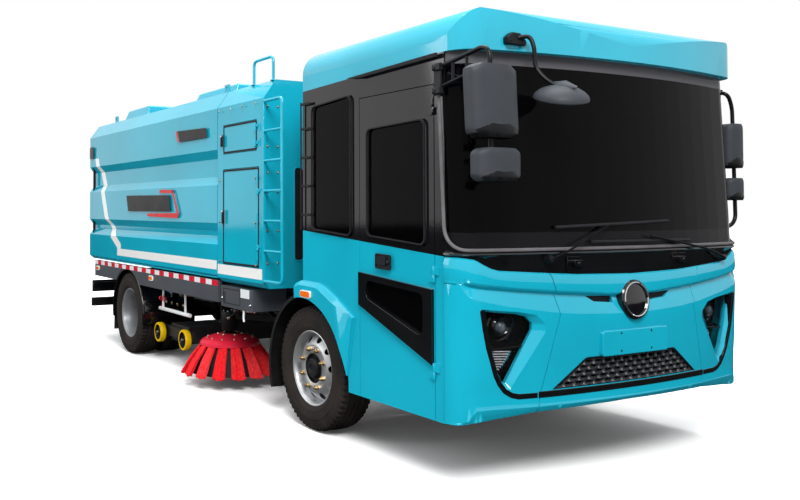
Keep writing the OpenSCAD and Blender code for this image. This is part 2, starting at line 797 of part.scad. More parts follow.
module side_mirrors() {
    color(black) {
        // Right: long arms carry the mirrors ahead of the windscreen
        head = [front_axle_x + 1850, 160 - mirror_reach, 0];
        z_top = 2400;
        clamp_x = [door_front_x + 24, seam_x - 6];
        a = [seam_x - 42, -half_w - 14.5, 2335];
        b = [seam_x - 30, -half_w - 13, 2210];
        span([clamp_x[0], -half_w - 14, 2180], [clamp_x[1], -half_w, 2360]);
        bent_rod([a, [head[0], head[1], z_top + 10], [head[0], head[1], 1700]], 26);
        rod(b, [head[0], head[1], z_top - 100], 22);
        span([head[0] - 60, -mirror_reach, 1930], [head[0] + 60, 320 - mirror_reach, 2290]);
        span([head[0] - 50, 10 - mirror_reach, 1690], [head[0] + 60, 310 - mirror_reach, 1860]);
        // Left: a bowed tube beside the corner pillar carries the mirrors
        x = front_axle_x + 1530;
        y = mirror_reach - 90;
        for (z = [1425, 2350])
            span([clamp_x[0], half_w, z - 40], [clamp_x[1], half_w + 14, z + 40]);
        bent_rod([[a[0], half_w + 14.5, 2350], [x, y - 50, 2340], [x, y, 2250], [x, y + 20, 1480],
            [x, y - 40, 1430], [a[0], half_w + 14.5, 1425]], 26);
        span([x - 90, half_w + 6, 1830], [x + 45, mirror_reach, 2130]);
        span([x - 80, half_w + 6, 1610], [x + 45, mirror_reach, 1760]);
    }
}

module front_mirror() {
    color(black) {
        // Bracket on the roof's brow, bent arm and round mirror bowl
        foot = [nose_at(850) + 4, -850, 2490];
        bowl = [front_axle_x + front_reach - 150, -730, 2170];
        difference() {
            span([nose_at(850) - 20, -905, 2455], [nose_at(850) + 16, -795, 2525]);
            roof_block(0);
        }
        bent_rod([foot, [bowl[0] - 60, -860, 2530], [bowl[0] - 20, -790, 2330], bowl + [0, 0, 40]], 24);
        translate(bowl) intersection() {
            sphere(r = 150);
            translate([-150, -150, -20]) cube([300, 300, 75]);
        }
    }
}

// ---------- service module ----------

// Outline of the body's cross-section, set in by t
module body_outline(bottom, t) {
    w = half_w - t;
    polygon([[-w + 50, bottom + t], [w - 50, bottom + t], [w, bottom + t + 40], [w, shoulder_z - 0.4 * t],
        [w - shoulder_w + 0.4 * t, body_top - t], [-w + shoulder_w - 0.4 * t, body_top - t],
        [-w, shoulder_z - 0.4 * t], [-w, bottom + t + 40]]);
}

// Openings of the two doors on each side, [x0, x1, z0, z1] with x measured from the module's rear
lower_door = [100, 735, 1090, 1880];
upper_door = [105, 700, 2005, 2250];

module module_opening(o, side, grow) {
    side_plate(side, half_w - module_wall - bite, half_w + bite)
        translate([module_rear_x + o[0] - grow, o[2] - grow])
            square([o[1] - o[0] + 2 * grow, o[3] - o[2] + 2 * grow]);
}

module service_module() {
    color(paint) {
        difference() {
            cross_section(module_rear_x, module_front_x) body_outline(module_bottom, 0);
            cross_section(module_rear_x + module_wall, module_front_x - module_wall)
                body_outline(module_bottom, module_wall);
            for (side = SIDES) {
                module_opening(lower_door, side, 0);
                module_opening(upper_door, side, 0);
            }
            // Hose slots in the front face
            for (s = SIDES)
                span([module_front_x - module_wall - bite, s * 880 - 50, 1180],
                    [module_front_x + bite, s * 880 + 50, 1790]);
        }
        for (side = SIDES, o = [lower_door, upper_door], f = [0.2, 0.75])
            hinge_leaf(module_rear_x + o[1] - 2, side, o[2] + f * (o[3] - o[2]),
                o[2] + f * (o[3] - o[2]) + 24, 30);
    }
}

module module_door(o, side) {
    color(paint) {
        side_plate(side, half_w - module_wall, half_w)
            translate([module_rear_x + o[0] + door_gap, o[2] + door_gap])
                square([o[1] - o[0] - 2 * door_gap, o[3] - o[2] - 2 * door_gap]);
        for (f = [0.2, 0.75])
            hinge_leaf(module_rear_x + o[1] - 2, side, o[2] + f * (o[3] - o[2]) - 20 - rest_gap,
                o[2] + f * (o[3] - o[2]) - rest_gap, -30);
    }
}
module service_door_right() { module_door(lower_door, RIGHT); }
module service_door_left() { module_door(lower_door, LEFT); }
module upper_door_right() { module_door(upper_door, RIGHT); }
module upper_door_left() { module_door(upper_door, LEFT); }

module ladder() {
    d = 24;
    x0 = module_front_x + 14;
    x1 = module_front_x + 290;
    y = 14 - half_w;
    z0 = 1000;
    z1 = 2375;
    rungs = 6;
    color(paint) {
        span([module_front_x + 0, y - 12, z0 - 15], [x0 + 8, y + 12, z1 + 15]);
        translate([x1, y, z0]) cylinder(d = d, h = z1 - z0);
        for (z = [z0, z1])
            translate([x1, y, z]) sphere(d = d + 3);
        for (i = [0:rungs])
            rod([x0, y, z0 + i * (z1 - z0) / rungs], [x1, y, z0 + i * (z1 - z0) / rungs], d - 4);
        // Hand hoop on the roof
        hoop_x = [module_front_x - 370, module_front_x - 50];
        hoop_y = 130 - half_w;
        hoop_top = body_top + 190;
        bent_rod([[hoop_x[0], hoop_y, body_top], [hoop_x[0], hoop_y, hoop_top],
            [hoop_x[1], hoop_y, hoop_top], [hoop_x[1], hoop_y, body_top]], d);
    }
}

module tool_boxes() {
    color(grey) both_sides()
        span([module_rear_x + 30, 15 - half_w, 735], [module_rear_x + 600, tool_box_w - half_w, 910]);
}

module side_rails() {
    x0 = tip_x;
    x1 = module_rear_x - 4;
    color(grey) for (side = SIDES) side_plate(side, rail_skirt_y, half_w - 4) difference() {
        translate([x0, 760]) square([x1 - x0, 185]);
        translate([rear_axle_x, axle_z]) circle(r = guard_r + 22, $fn = 96);
    }
}

// ---------- hopper ----------

// Outer outline of the hopper with the grooves along its sides
module hopper_outline() {
    g = groove_depth;
    right = [[half_w - 50, hopper_bottom], [half_w, hopper_bottom + 40], [half_w, 1248],
        [half_w - g, 1318], [half_w - g, 1360], [half_w, 1430], [half_w, 1752], [half_w - g, 1826],
        [half_w - g, 1980], [half_w, 2053], [half_w, shoulder_z], [half_w - shoulder_w, body_top]];
    polygon(concat(right, [for (i = [len(right) - 1:-1:0]) [-right[i][0], right[i][1]]]));
}

module hopper_cavity_outline() {
    w = half_w - hopper_wall;
    z0 = hopper_bottom + 60;
    z1 = body_top - 60;
    polygon([[-w, z0], [w, z0], [w, shoulder_z - 30], [w - shoulder_w + 30, z1],
        [-w + shoulder_w - 30, z1], [-w, shoulder_z - 30]]);
}

// Raised box on the hopper's roof, sloping at both ends
module roof_box(x0, x1, w, h) {
    side_plate(LEFT, -w / 2, w / 2)
        polygon([[x0, body_top - bite], [x0 + 0.8 * h, body_top + h], [x1 - 0.3 * h, body_top + h],
            [x1, body_top - bite]]);
}

module hopper() {
    color(paint) {
        difference() {
            cross_section(gate_x, hopper_front_x) hopper_outline();
            cross_section(gate_x - bite, hopper_front_x - 60) hopper_cavity_outline();
        }
        // Beams under the floor
        both_sides() span([tip_x + 130, -rail_y, 850], [hopper_front_x - 20, rail_w - rail_y, hopper_bottom + bite]);
        // Tipping lugs
        both_sides() difference() {
            union() {
                span([tip_x - 45, -rail_y - 40, tip_z], [tip_x + 45, -rail_y - 10, hopper_bottom + bite]);
                y_bar(tip_x, tip_z, -rail_y - 40, -rail_y - 10, 45);
            }
            y_bar(tip_x, tip_z, -rail_y - 60, -rail_y, tip_pin_r + run);
        }
        // Cheeks that hold the lift cylinders' upper eyes
        both_sides() for (y = [-lift_y - 60, -lift_y + 45])
            span([tip_x + lift_eye_ahead - 50, y, lift_eye_z - 45],
                [tip_x + lift_eye_ahead + 50, y + 15, hopper_bottom + bite]);
        // Filler and inspection boxes on the roof
        roof_box(front_axle_x - 4050, front_axle_x - 2980, 1500, 95);
        roof_box(front_axle_x - 2560, front_axle_x - 1620, 1300, 80);
        // Tailgate hinge knuckles
        both_sides() {
            span([gate_x, -700, body_top - bite], [gate_x + 60, -640, body_top + 12]);
            y_bar(gate_x, body_top + 20, -700, -640, 18);
            span([gate_x, -700, body_top], [gate_x + 18, -640, body_top + 20]);
        }
        // Lifting lugs
        both_sides() for (x = [gate_x + 520, hopper_front_x - 60]) difference() {
            span([x - 40, shoulder_w + 10 - half_w, body_top - bite], [x + 40, shoulder_w + 26 - half_w, body_top + 70]);
            y_bar(x, body_top + 40, -half_w, 0, lug_hole_r);
        }
    }
}

module tailgate() {
    color(paint) {
        difference() {
            cross_section(hopper_rear_x, gate_x - door_gap) hopper_outline();
            cross_section(hopper_rear_x + 40, gate_x) hopper_cavity_outline();
        }
        both_sides() for (y = [-700 - 40 - rest_gap, -640 + rest_gap]) {
            y_bar(gate_x, body_top + 20, y, y + 40, 18);
            span([gate_x - 60, y, body_top - bite], [gate_x - door_gap, y + 40, body_top + 12]);
            span([gate_x - 30, y, body_top + 4], [gate_x, y + 40, body_top + 36]);
        }
    }
}

// Children drawn along +X from a lift cylinder's lower eye
lift_rise = atan2(lift_eye_z - lift_base_z, lift_eye_ahead - lift_base_ahead);
lift_len = norm([lift_eye_z - lift_base_z, lift_eye_ahead - lift_base_ahead]);
module at_lift(y) {
    translate([tip_x + lift_base_ahead, y, lift_base_z]) rotate([0, -lift_rise, 0]) children();
}

module lift_cylinders() {
    color(black) for (side = SIDES) at_lift(side * lift_y) difference() {
        union() {
            translate([0, 40, 0]) rotate([90, 0, 0]) cylinder(r = 35, h = 80);
            translate([20, 0, 0]) rotate([0, 90, 0]) cylinder(r = 45, h = 680);
        }
        translate([0, 60, 0]) rotate([90, 0, 0]) cylinder(r = 15 + run, h = 120);
        translate([60, 0, 0]) rotate([0, 90, 0]) cylinder(r = lift_rod_r + run, h = 700);
    }
}

module lift_rods() {
    color(steel) for (side = SIDES) at_lift(side * lift_y) {
        translate([320, 0, 0]) rotate([0, 90, 0]) cylinder(r = lift_rod_r, h = lift_len - 340);
        translate([lift_len, 40, 0]) rotate([90, 0, 0]) cylinder(r = 35, h = 80);
    }
}

// ---------- sweeping gear ----------

module brush_arm(side) {
    reach = norm([arm_x - brush_x, brush_y - arm_y]);
    heading = atan2(-side * (arm_y - brush_y), brush_x - arm_x);
    color(black) {
        difference() {
            union() {
                translate([arm_x, side * arm_y, 560]) cylinder(r = 48, h = 85);
                translate([arm_x, side * arm_y, 575]) rotate([0, 0, heading]) translate([30, -30, 0])
                    cube([reach - 60, 60, 55]);
            }
            translate([arm_x, side * arm_y, 500]) cylinder(r = arm_pin_r + run, h = 200);
        }
        translate([brush_x, side * brush_y, brush_top + 20]) cylinder(r = 75, h = 640 - brush_top - 20);
        translate([brush_x, side * brush_y, brush_top - 50]) cylinder(r = 18, h = 80);
    }
}
module brush_arm_right() { brush_arm(RIGHT); }
module brush_arm_left() { brush_arm(LEFT); }

// Plate with a hub and the skirt of bristles that flares to the ground
module side_brush(side) {
    z0 = brush_tip_z;
    color("#d8202a") translate([brush_x, side * brush_y, 0]) rotate_extrude($fn = 96) {
        polygon([[18 + run, brush_top - 60], [70, brush_top - 60], [110, brush_top - 75],
            [brush_plate_r - 60, brush_top - 95], [brush_tip_r - 70, z0], [brush_tip_r, z0],
            [brush_plate_r + 5, brush_top - 85], [brush_plate_r - 10, brush_top - 60],
            [130, brush_top - 25], [60, brush_top], [18 + run, brush_top]]);
    }
}
module side_brush_right() { side_brush(RIGHT); }
module side_brush_left() { side_brush(LEFT); }

module suction_carriage() {
    x0 = nozzle_x - nozzle_len / 2;
    x1 = nozzle_x + nozzle_len / 2;
    z0 = 235;
    z1 = 400;
    t = 20;
    color(black) {
        difference() {
            span([x0, -nozzle_w / 2, z0], [x1, nozzle_w / 2, z1]);
            span([x0 + t, t - nozzle_w / 2, z0 - bite], [x1 - t, nozzle_w / 2 - t, z1 - t]);
            translate([nozzle_x, 0, z1 - t - bite]) cylinder(r = 95, h = t + 2 * bite);
        }
        // Sleeve that slides in the suction pipe
        difference() {
            translate([nozzle_x, 0, z1 - bite]) cylinder(r = 105, h = 380);
            translate([nozzle_x, 0, z1 - 2 * bite]) cylinder(r = 95, h = 400);
        }
        // Lift rods
        both_sides() {
            translate([nozzle_x, -520, z1 - bite]) cylinder(r = lift_guide_r, h = 380);
            translate([nozzle_x, -520, z1 - bite]) cylinder(r = 38, h = 20);
        }
        // Beams that carry the caster wheels, with their axles
        both_sides() {
            span([nozzle_x - caster_base / 2 - 30, -nozzle_w / 2 - 22, caster_z - 30],
                [nozzle_x + caster_base / 2 + 30, bite - nozzle_w / 2, caster_z + 70]);
            for (s = [-1, 1])
                y_bar(nozzle_x + s * caster_base / 2, caster_z, -caster_y - 34, -nozzle_w / 2, caster_pin_r);
        }
    }
}

module suction_pipe() {
    color(black) difference() {
        union() {
            translate([nozzle_x, 0, 560]) cylinder(r = 125, h = 370);
            span([nozzle_x - 40, rail_t - rail_y, 720], [nozzle_x + 40, rail_y - rail_t, 780]);
        }
        translate([nozzle_x, 0, 550]) cylinder(r = 113, h = 400);
    }
}

module caster(side, s) {
    color("#e8c41c") translate([nozzle_x + s * caster_base / 2, side * caster_y, caster_z])
        rotate([90, 0, 0]) rotate_extrude($fn = 64)
            polygon([[caster_pin_r + run, -32], [40, -32], [42, -14], [70, -14], [72, -28],
                [caster_r - 8, -28], [caster_r, -18], [caster_r, 18], [caster_r - 8, 28], [72, 28],
                [70, 14], [42, 14], [40, 32], [caster_pin_r + run, 32]]);
}
module caster_front_right() { caster(RIGHT, 1); }
module caster_rear_right() { caster(RIGHT, -1); }
module caster_front_left() { caster(LEFT, 1); }
module caster_rear_left() { caster(LEFT, -1); }

module spray_bars() {
    y = 80 - half_w;
    color("#e6e8ea") both_sides() {
        rod([nozzle_x - 180, y, 560], [nozzle_x + 560, y, 560], 36);
        for (x = [nozzle_x - 95, nozzle_x + 455])
            translate([x, y, 560]) cylinder(d = 22, h = outrigger_z - 560);
    }
}

module rear_bumper() {
    color(black) {
        span([bumper_x, -half_w + 50, 370], [bumper_x + 70, half_w - 50, 470]);
        both_sides() {
            span([bumper_x + 20, -rail_y, 460], [bumper_x + 70, rail_w - rail_y, rail_bottom + 60]);
            span([bumper_x + 20, -rail_y, rail_bottom + 5], [rail_rear_x, rail_w - rail_y, rail_bottom + 60]);
        }
        span([bumper_x + 30, -half_w + 60, rail_bottom + 5], [bumper_x + 60, half_w - 60, rail_bottom + 60]);
    }
}

module tail_lamps() {
    color("#a01216") both_sides()
        span([bumper_x, -half_w + 60, rail_bottom - 60], [bumper_x + 30, -half_w + 370, rail_bottom + 80]);
}

chassis_frame();
front_axle();
knuckle_right();
knuckle_left();
front_wheel_right();
front_wheel_left();
rear_axle();
rear_wheels_right();
rear_wheels_left();
battery_pack();
front_mudguards();
rear_mudguards();
cab_floor();
cab_rear_wall();
cab_sides();
quarter_glass();
cab_roof();
windscreen();
cowl();
front_fascia();
headlights();
lower_grille();
wipers();
dashboard();
steering_wheel();
seats();
door_right();
door_left();
door_glass_right();
door_glass_left();
side_mirrors();
front_mirror();
service_module();
service_door_right();
service_door_left();
upper_door_right();
upper_door_left();
ladder();
tool_boxes();
side_rails();
hopper();
tailgate();
lift_cylinders();
lift_rods();
brush_arm_right();
brush_arm_left();
side_brush_right();
side_brush_left();
suction_carriage();
suction_pipe();
caster_front_right();
caster_rear_right();
caster_front_left();
caster_rear_left();
spray_bars();
rear_bumper();
tail_lamps();
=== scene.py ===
import math

import bmesh
import bpy
from mathutils import Matrix, Vector


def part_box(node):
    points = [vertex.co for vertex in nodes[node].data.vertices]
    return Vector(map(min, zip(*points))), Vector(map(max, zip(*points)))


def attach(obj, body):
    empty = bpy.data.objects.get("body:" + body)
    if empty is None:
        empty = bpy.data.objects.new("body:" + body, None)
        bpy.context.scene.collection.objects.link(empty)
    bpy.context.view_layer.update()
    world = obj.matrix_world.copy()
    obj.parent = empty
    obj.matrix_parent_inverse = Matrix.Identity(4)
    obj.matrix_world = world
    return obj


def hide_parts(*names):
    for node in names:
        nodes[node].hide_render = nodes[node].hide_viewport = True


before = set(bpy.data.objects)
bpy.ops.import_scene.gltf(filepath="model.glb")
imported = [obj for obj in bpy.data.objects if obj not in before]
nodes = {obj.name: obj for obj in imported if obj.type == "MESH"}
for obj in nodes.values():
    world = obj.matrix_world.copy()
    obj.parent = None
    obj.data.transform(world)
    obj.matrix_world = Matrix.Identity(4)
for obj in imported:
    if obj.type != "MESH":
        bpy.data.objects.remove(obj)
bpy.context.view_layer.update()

# ---- Camera ----
# The camera stands off the vehicle's right front corner at eye height. Its lens is shifted
# sideways and down, so that it can look almost level.
front_axle = (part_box("front_wheel_right")[0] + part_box("front_wheel_right")[1]) / 2
camera = bpy.data.objects.new("camera", bpy.data.cameras.new("camera"))
bpy.context.scene.collection.objects.link(camera)
camera.location = (front_axle.x + 5.182, -4.358, 1.550)
camera.rotation_euler = (math.radians(91.568), 0, math.radians(61.668))
camera.data.lens = 38.81
camera.data.sensor_width = 36
camera.data.shift_x = 0.175
camera.data.shift_y = -0.0809
camera.data.clip_end = 200
bpy.context.scene.camera = camera
bpy.context.scene.view_settings.view_transform = "Standard"


# ---- Studio ----
# A pale floor: white to the camera, dark in reflections, with the lamps' soft shadow and a painted shadow
# where its glow fades out round the vehicle.
# One key lamp stands high at the front right, with a side fill and a top lamp, in a white world.
def linear(hex_colour):
    """sRGB hex string to a linear RGBA colour."""
    srgb = [int(hex_colour[i:i + 2], 16) / 255 for i in (1, 3, 5)]
    return [c / 12.92 if c <= 0.04045 else ((c + 0.055) / 1.055) ** 2.4 for c in srgb] + [1.0]


def add_node(tree, kind, settings=(), links=(), **inputs):
    """Adds a shader node, sets its attributes and sockets, and links sockets from other nodes.
    links maps an input's name or number to (node, output)."""
    node = tree.nodes.new("ShaderNode" + kind)
    for name, value in dict(settings).items():
        setattr(node, name, value)
    for name, value in inputs.items():
        node.inputs[name.replace("_", " ")].default_value = value
    for name, (source, output) in dict(links).items():
        tree.links.new(source.outputs[output], node.inputs[name])
    return node


def new_material(name):
    """An empty node material and its tree."""
    material = bpy.data.materials.new(name)
    material.use_nodes = True
    material.node_tree.nodes.clear()
    return material, material.node_tree


def seen_directly(tree):
    """1 on the rays that show the background: camera, mirror and transmission rays."""
    path = add_node(tree, "LightPath")
    glossy = add_node(tree, "Math", {"operation": "MAXIMUM"}, {0: (path, "Is Camera Ray"),
        1: (path, "Is Glossy Ray")})
    return add_node(tree, "Math", {"operation": "MAXIMUM"}, {0: (glossy, 0),
        1: (path, "Is Transmission Ray")})


world = bpy.data.worlds.new("studio")
bpy.context.scene.world = world
world.use_nodes = True
world.node_tree.nodes.clear()
tree = world.node_tree
lit = add_node(tree, "Background", Strength=0.55, Color=linear("#ffffff"))
shown = add_node(tree, "Background", Strength=1.0, Color=linear("#ffffff"))
mixed = add_node(tree, "MixShader", links={0: (seen_directly(tree), 0), 1: (lit, 0), 2: (shown, 0)})
add_node(tree, "OutputWorld", links={"Surface": (mixed, 0)})

floor = bpy.data.objects.new("studio_floor", bpy.data.meshes.new("studio_floor"))
bpy.context.scene.collection.objects.link(floor)
floor.data.from_pydata([(-60, -60, 0), (60, -60, 0), (60, 60, 0), (-60, 60, 0)], [], [(0, 1, 2, 3)])
material, tree = new_material("studio_floor_with_painted_shadow")
path = add_node(tree, "LightPath")
place = add_node(tree, "TexCoord")
# Painted shadow: the glow seen by the camera fades to almost nothing in an oval round the vehicle,
# stretched along it, so the floor goes dark there under any lamps.
oval = add_node(tree, "VectorMath", {"operation": "MULTIPLY"}, {0: (place, "Object")})
oval.inputs[1].default_value = (0.6, 1.0, 1.0)
reach = add_node(tree, "VectorMath", {"operation": "LENGTH"}, {0: (oval, 0)})
painted_shadow_fade = add_node(tree, "MapRange", links={"Value": (reach, "Value")}, From_Min=2.2, From_Max=5.5,
    To_Min=0.02, To_Max=1.0)
near = add_node(tree, "BsdfDiffuse", Color=(1.25, 1.25, 1.25, 1.0))
lift = add_node(tree, "Emission", Color=linear("#ffffff"), links={"Strength": (painted_shadow_fade, 0)})
shown = add_node(tree, "AddShader", links={0: (near, 0), 1: (lift, 0)})
bounced = add_node(tree, "BsdfDiffuse", Color=linear("#a8a8a8"))
mirrored = add_node(tree, "BsdfDiffuse", Color=linear("#2c3030"))
lit = add_node(tree, "MixShader", links={0: (path, "Is Camera Ray"), 1: (bounced, 0), 2: (shown, 0)})
seen = add_node(tree, "MixShader", links={0: (path, "Is Glossy Ray"), 1: (lit, 0), 2: (mirrored, 0)})
add_node(tree, "OutputMaterial", links={"Surface": (seen, 0)})
floor.data.materials.append(material)

for name, place, aim, size, watts in (("key", (9, -5, 8), (0, 0, 1.2), 4, 1180),
        ("side_fill", (-4, -10, 5), (-1, 0, 1.2), 6, 300), ("top", (0, 0, 11), (0, 0, 0), 8, 1300)):
    lamp = bpy.data.objects.new(name, bpy.data.lights.new(name, "AREA"))
    bpy.context.scene.collection.objects.link(lamp)
    lamp.location = place
    lamp.rotation_euler = (Vector(aim) - Vector(place)).to_track_quat("-Z", "Y").to_euler()
    lamp.data.size = size
    lamp.data.energy = watts

# ---- Front tyres ----
# Radial truck tyres of vulcanised rubber, moulded with ribs and shoulder blocks in the tread.
# They are stretched over steel rims and seated on the bead by air pressure.
def shape(name, verts, faces, material, body, angle=35):
    """A mesh object in the row frame, smooth up to an edge angle, riding on a body."""
    mesh = bpy.data.meshes.new(name)
    mesh.from_pydata([tuple(v) for v in verts], [], [tuple(f) for f in faces])
    mesh.validate()
    cleaner = bmesh.new()
    cleaner.from_mesh(mesh)
    bmesh.ops.remove_doubles(cleaner, verts=cleaner.verts, dist=1e-5)
    bmesh.ops.recalc_face_normals(cleaner, faces=cleaner.faces)
    cleaner.to_mesh(mesh)
    cleaner.free()
    mesh.shade_smooth()
    mesh.set_sharp_from_angle(angle=math.radians(angle))
    obj = bpy.data.objects.new(name, mesh)
    bpy.context.scene.collection.objects.link(obj)
    mesh.materials.append(material)
    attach(obj, body)
    return obj


def skin_faces(rows, n, closed=False):
    """Quads between rows of n points each, and from the last row to the first if closed."""
    return [(i * n + k, i * n + (k + 1) % n, (i + 1) % rows * n + (k + 1) % n, (i + 1) % rows * n + k)
        for i in range(rows if closed else rows - 1) for k in range(n)]


def lathe(profile, centre, steps, radius_at=None):
    """Closed profile of (radius, y) points turned round the Y axis through centre."""
    verts = []
    for i in range(steps):
        a = 2 * math.pi * i / steps
        for k, (r, y) in enumerate(profile):
            if radius_at:
                r = radius_at(k, i, r)
            verts.append((centre[0] + r * math.cos(a), centre[1] + y, centre[2] + r * math.sin(a)))
    return verts, skin_faces(steps, len(profile), True)


def principled(name, colour, roughness, metallic=0.0, coat=0.0, bump_mm=None, bump_size_mm=4.0,
        vary="#000000", vary_size_mm=300.0, vary_amount=0.0, rough_vary=0.0, ior=1.25):
    """A Principled material with fine bump, drifting colour and drifting roughness from noise."""
    material, tree = new_material(name)
    place = add_node(tree, "TexCoord")
    shader = add_node(tree, "BsdfPrincipled", Metallic=metallic)
    shader.inputs["Coat Weight"].default_value = coat
    if not metallic:
        shader.inputs["IOR"].default_value = ior
    drift = add_node(tree, "TexNoise", links={"Vector": (place, "Object")}, Scale=1000 / vary_size_mm,
        Detail=6.0)
    ramp = add_node(tree, "MapRange", links={"Value": (drift, "Fac")})
    for socket, value in (("From Min", 0.35), ("From Max", 0.7), ("To Min", 0.0), ("To Max", vary_amount)):
        ramp.inputs[socket].default_value = value
    mix = add_node(tree, "Mix", {"data_type": "RGBA"}, {0: (ramp, 0)})
    mix.inputs[6].default_value = linear(colour)
    mix.inputs[7].default_value = linear(vary)
    tree.links.new(mix.outputs[2], shader.inputs["Base Color"])
    rough = add_node(tree, "MapRange", links={"Value": (drift, "Fac")})
    for socket, value in (("From Min", 0.3), ("From Max", 0.7), ("To Min", roughness - rough_vary),
            ("To Max", roughness + rough_vary)):
        rough.inputs[socket].default_value = value
    tree.links.new(rough.outputs[0], shader.inputs["Roughness"])
    if bump_mm:
        grain = add_node(tree, "TexNoise", links={"Vector": (place, "Object")}, Scale=1000 / bump_size_mm,
            Detail=3.0)
        bump = add_node(tree, "Bump", Strength=1.0, Distance=bump_mm / 1000,
            links={"Height": (grain, "Fac")})
        tree.links.new(bump.outputs[0], shader.inputs["Normal"])
    add_node(tree, "OutputMaterial", links={"Surface": (shader, 0)})
    return material


# Carbon-black rubber with dry brown road dust: dull, with a faint mould texture.
tyre_rubber = principled("vulcanised_tyre_rubber", "#1f1c1b", 0.78, bump_mm=0.5, bump_size_mm=6,
    vary="#3a322e", vary_size_mm=120, vary_amount=0.45, rough_vary=0.1)
tyre_radius = (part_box("front_wheel_right")[1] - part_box("front_wheel_right")[0]).z / 2
tyre_half_width = (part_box("front_wheel_right")[1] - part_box("front_wheel_right")[0]).y / 2
rim_edge_radius = 0.262
tread_blocks = 60
rib_edges = (0.016, 0.024, 0.062, 0.070)


def tyre_profile(outward):
    """Half section from the outer bead over the tread to the inner bead, y positive outward."""
    r, w = tyre_radius, tyre_half_width
    outer = [(0.250, w - 0.030), (rim_edge_radius, w - 0.022), (rim_edge_radius + 0.012, w - 0.010),
        (0.290, w - 0.005), (0.296, w - 0.002), (0.300, w - 0.004), (0.330, w), (0.352, w),
        (0.356, w - 0.003), (0.385, w - 0.006), (r - 0.034, w - 0.010), (r - 0.030, w - 0.007),
        (r - 0.012, w - 0.014), (r - 0.006, w - 0.026), (r - 0.003, w - 0.040)]
    tread = []
    for a, b in ((rib_edges[3], rib_edges[2]), (rib_edges[1], rib_edges[0])):
        tread += [(r - 0.001, a), (r - 0.013, a - 0.001), (r - 0.013, b + 0.001), (r, b)]
    half = outer + tread
    both = half + [(rr, -y) for rr, y in reversed(half)]
    closing = [(0.244, -(w - 0.036)), (0.244, w - 0.036)]
    return [(rr, y * outward) for rr, y in both + closing]


def tyre(name, centre, outward, body):
    """One tyre with notched shoulder blocks."""
    profile = tyre_profile(outward)
    shoulders = {k for k, (r, y) in enumerate(profile) if tyre_radius - 0.032 < r and abs(y) > 0.085}
    steps = tread_blocks * 3

    def notch(k, i, r):
        return r - 0.011 if k in shoulders and i % 3 == 0 else r
    verts, faces = lathe(profile, centre, steps, notch)
    obj = shape(name, verts, faces, tyre_rubber, body, 28)
    return obj


sides = {"right": -1, "left": 1}
wheel_centre = {side: (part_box("front_wheel_" + side)[0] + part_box("front_wheel_" + side)[1]) / 2
    for side in sides}
for side, s in sides.items():
    tyre("front_tyre_" + side, wheel_centre[side], s, "front_wheel_" + side)

# ---- Front rims ----
# Pressed steel disc welded into a rolled barrel, with ten hand holes in the sloping flank, and
# painted silver. Eight plated nuts hold it to the hub, whose dark end shows in the middle.
# Silver lacquer: metallic flakes under a thin clear coat, dulled a little by dust.
silver_lacquer = principled("silver_lacquered_steel", "#b9bbbd", 0.38, metallic=0.75, coat=0.2,
    bump_mm=0.15, bump_size_mm=3, vary="#8c8a88", vary_size_mm=150, vary_amount=0.35, rough_vary=0.08)
# Yellow passivated zinc: warm and bright with a cloudy hue.
yellow_zinc = principled("yellow_zinc_plated_steel", "#b39a74", 0.3, metallic=0.9, vary="#8f7a58",
    vary_size_mm=25, vary_amount=0.6, rough_vary=0.08)
# Black cast iron under thin paint.
cast_black = principled("painted_cast_iron", "#15171b", 0.5, bump_mm=0.4, bump_size_mm=5, vary="#2f2c2a",
    vary_size_mm=60, vary_amount=0.5, rough_vary=0.1)


def rectangle(a0, b0, a1, b1):
    """Corners of a rectangle, from its low corner to its high one and back."""
    return [(a0, b0), (a1, b0), (a1, b1), (a0, b1)]


def holed_ring(r0, r1, count, hole, y_at, centre, turn=0.0, stretch=1.0):
    """Ring from r0 to r1 with round holes, each sector an O-grid, and y given by radius."""
    verts, faces = [], []
    half = math.pi / count
    middle = (r0 + r1) / 2
    corners = rectangle(r0, -half, r1, half)
    edge = []
    for c in range(4):
        (ra, aa), (rb, ab) = corners[c], corners[(c + 1) % 4]
        edge += [(ra + (rb - ra) * t / 6, aa + (ab - aa) * t / 6) for t in range(6)]
    hole_points = []
    for ra, aa in edge:
        direction = math.atan2(aa * middle, ra - middle)
        hole_points.append((middle + hole * stretch * math.cos(direction),
            hole * math.sin(direction) / middle))
    rings = 5
    for sector in range(count):
        base = len(verts)
        offset = 2 * half * sector + turn
        for ring in range(rings + 1):
            t = ring / rings
            for (ra, aa), (rh, ah) in zip(edge, hole_points):
                r, a = rh + (ra - rh) * t, ah + (aa - ah) * t + offset
                verts.append((centre[0] + r * math.cos(a), centre[1] + y_at(r),
                    centre[2] + r * math.sin(a)))
        n = len(edge)
        for ring in range(rings):
            for k in range(n):
                m = (k + 1) % n
                faces.append((base + ring * n + k, base + ring * n + m, base + (ring + 1) * n + m,
                    base + (ring + 1) * n + k))
    return verts, faces


def modifier(obj, kind, **settings):
    """Adds a modifier with its settings."""
    made = obj.modifiers.new(kind.lower(), kind)
    for name, value in settings.items():
        setattr(made, name, value)
    return made


def hexagon_nut(centre, outward, flat, height):
    """Nut with a domed end on a stud, along Y."""
    profile = [(flat * 1.25, 0), (flat * 1.25, 0.003), (flat * 1.12, 0.004), (flat * 1.12, height * 0.7),
        (flat * 0.95, height * 0.82), (flat * 0.5, height * 0.85), (flat * 0.5, height * 1.25),
        (flat * 0.4, height * 1.32), (0.0005, height * 1.32)]
    return lathe([(r, y * outward) for r, y in profile] + [(0.0005, 0)], centre, 6 if flat > 0.01 else 8)


def merged(parts):
    """Joins several (verts, faces) into one."""
    verts, faces = [], []
    for v, f in parts:
        n = len(verts)
        verts += v
        faces += [tuple(i + n for i in face) for face in f]
    return verts, faces


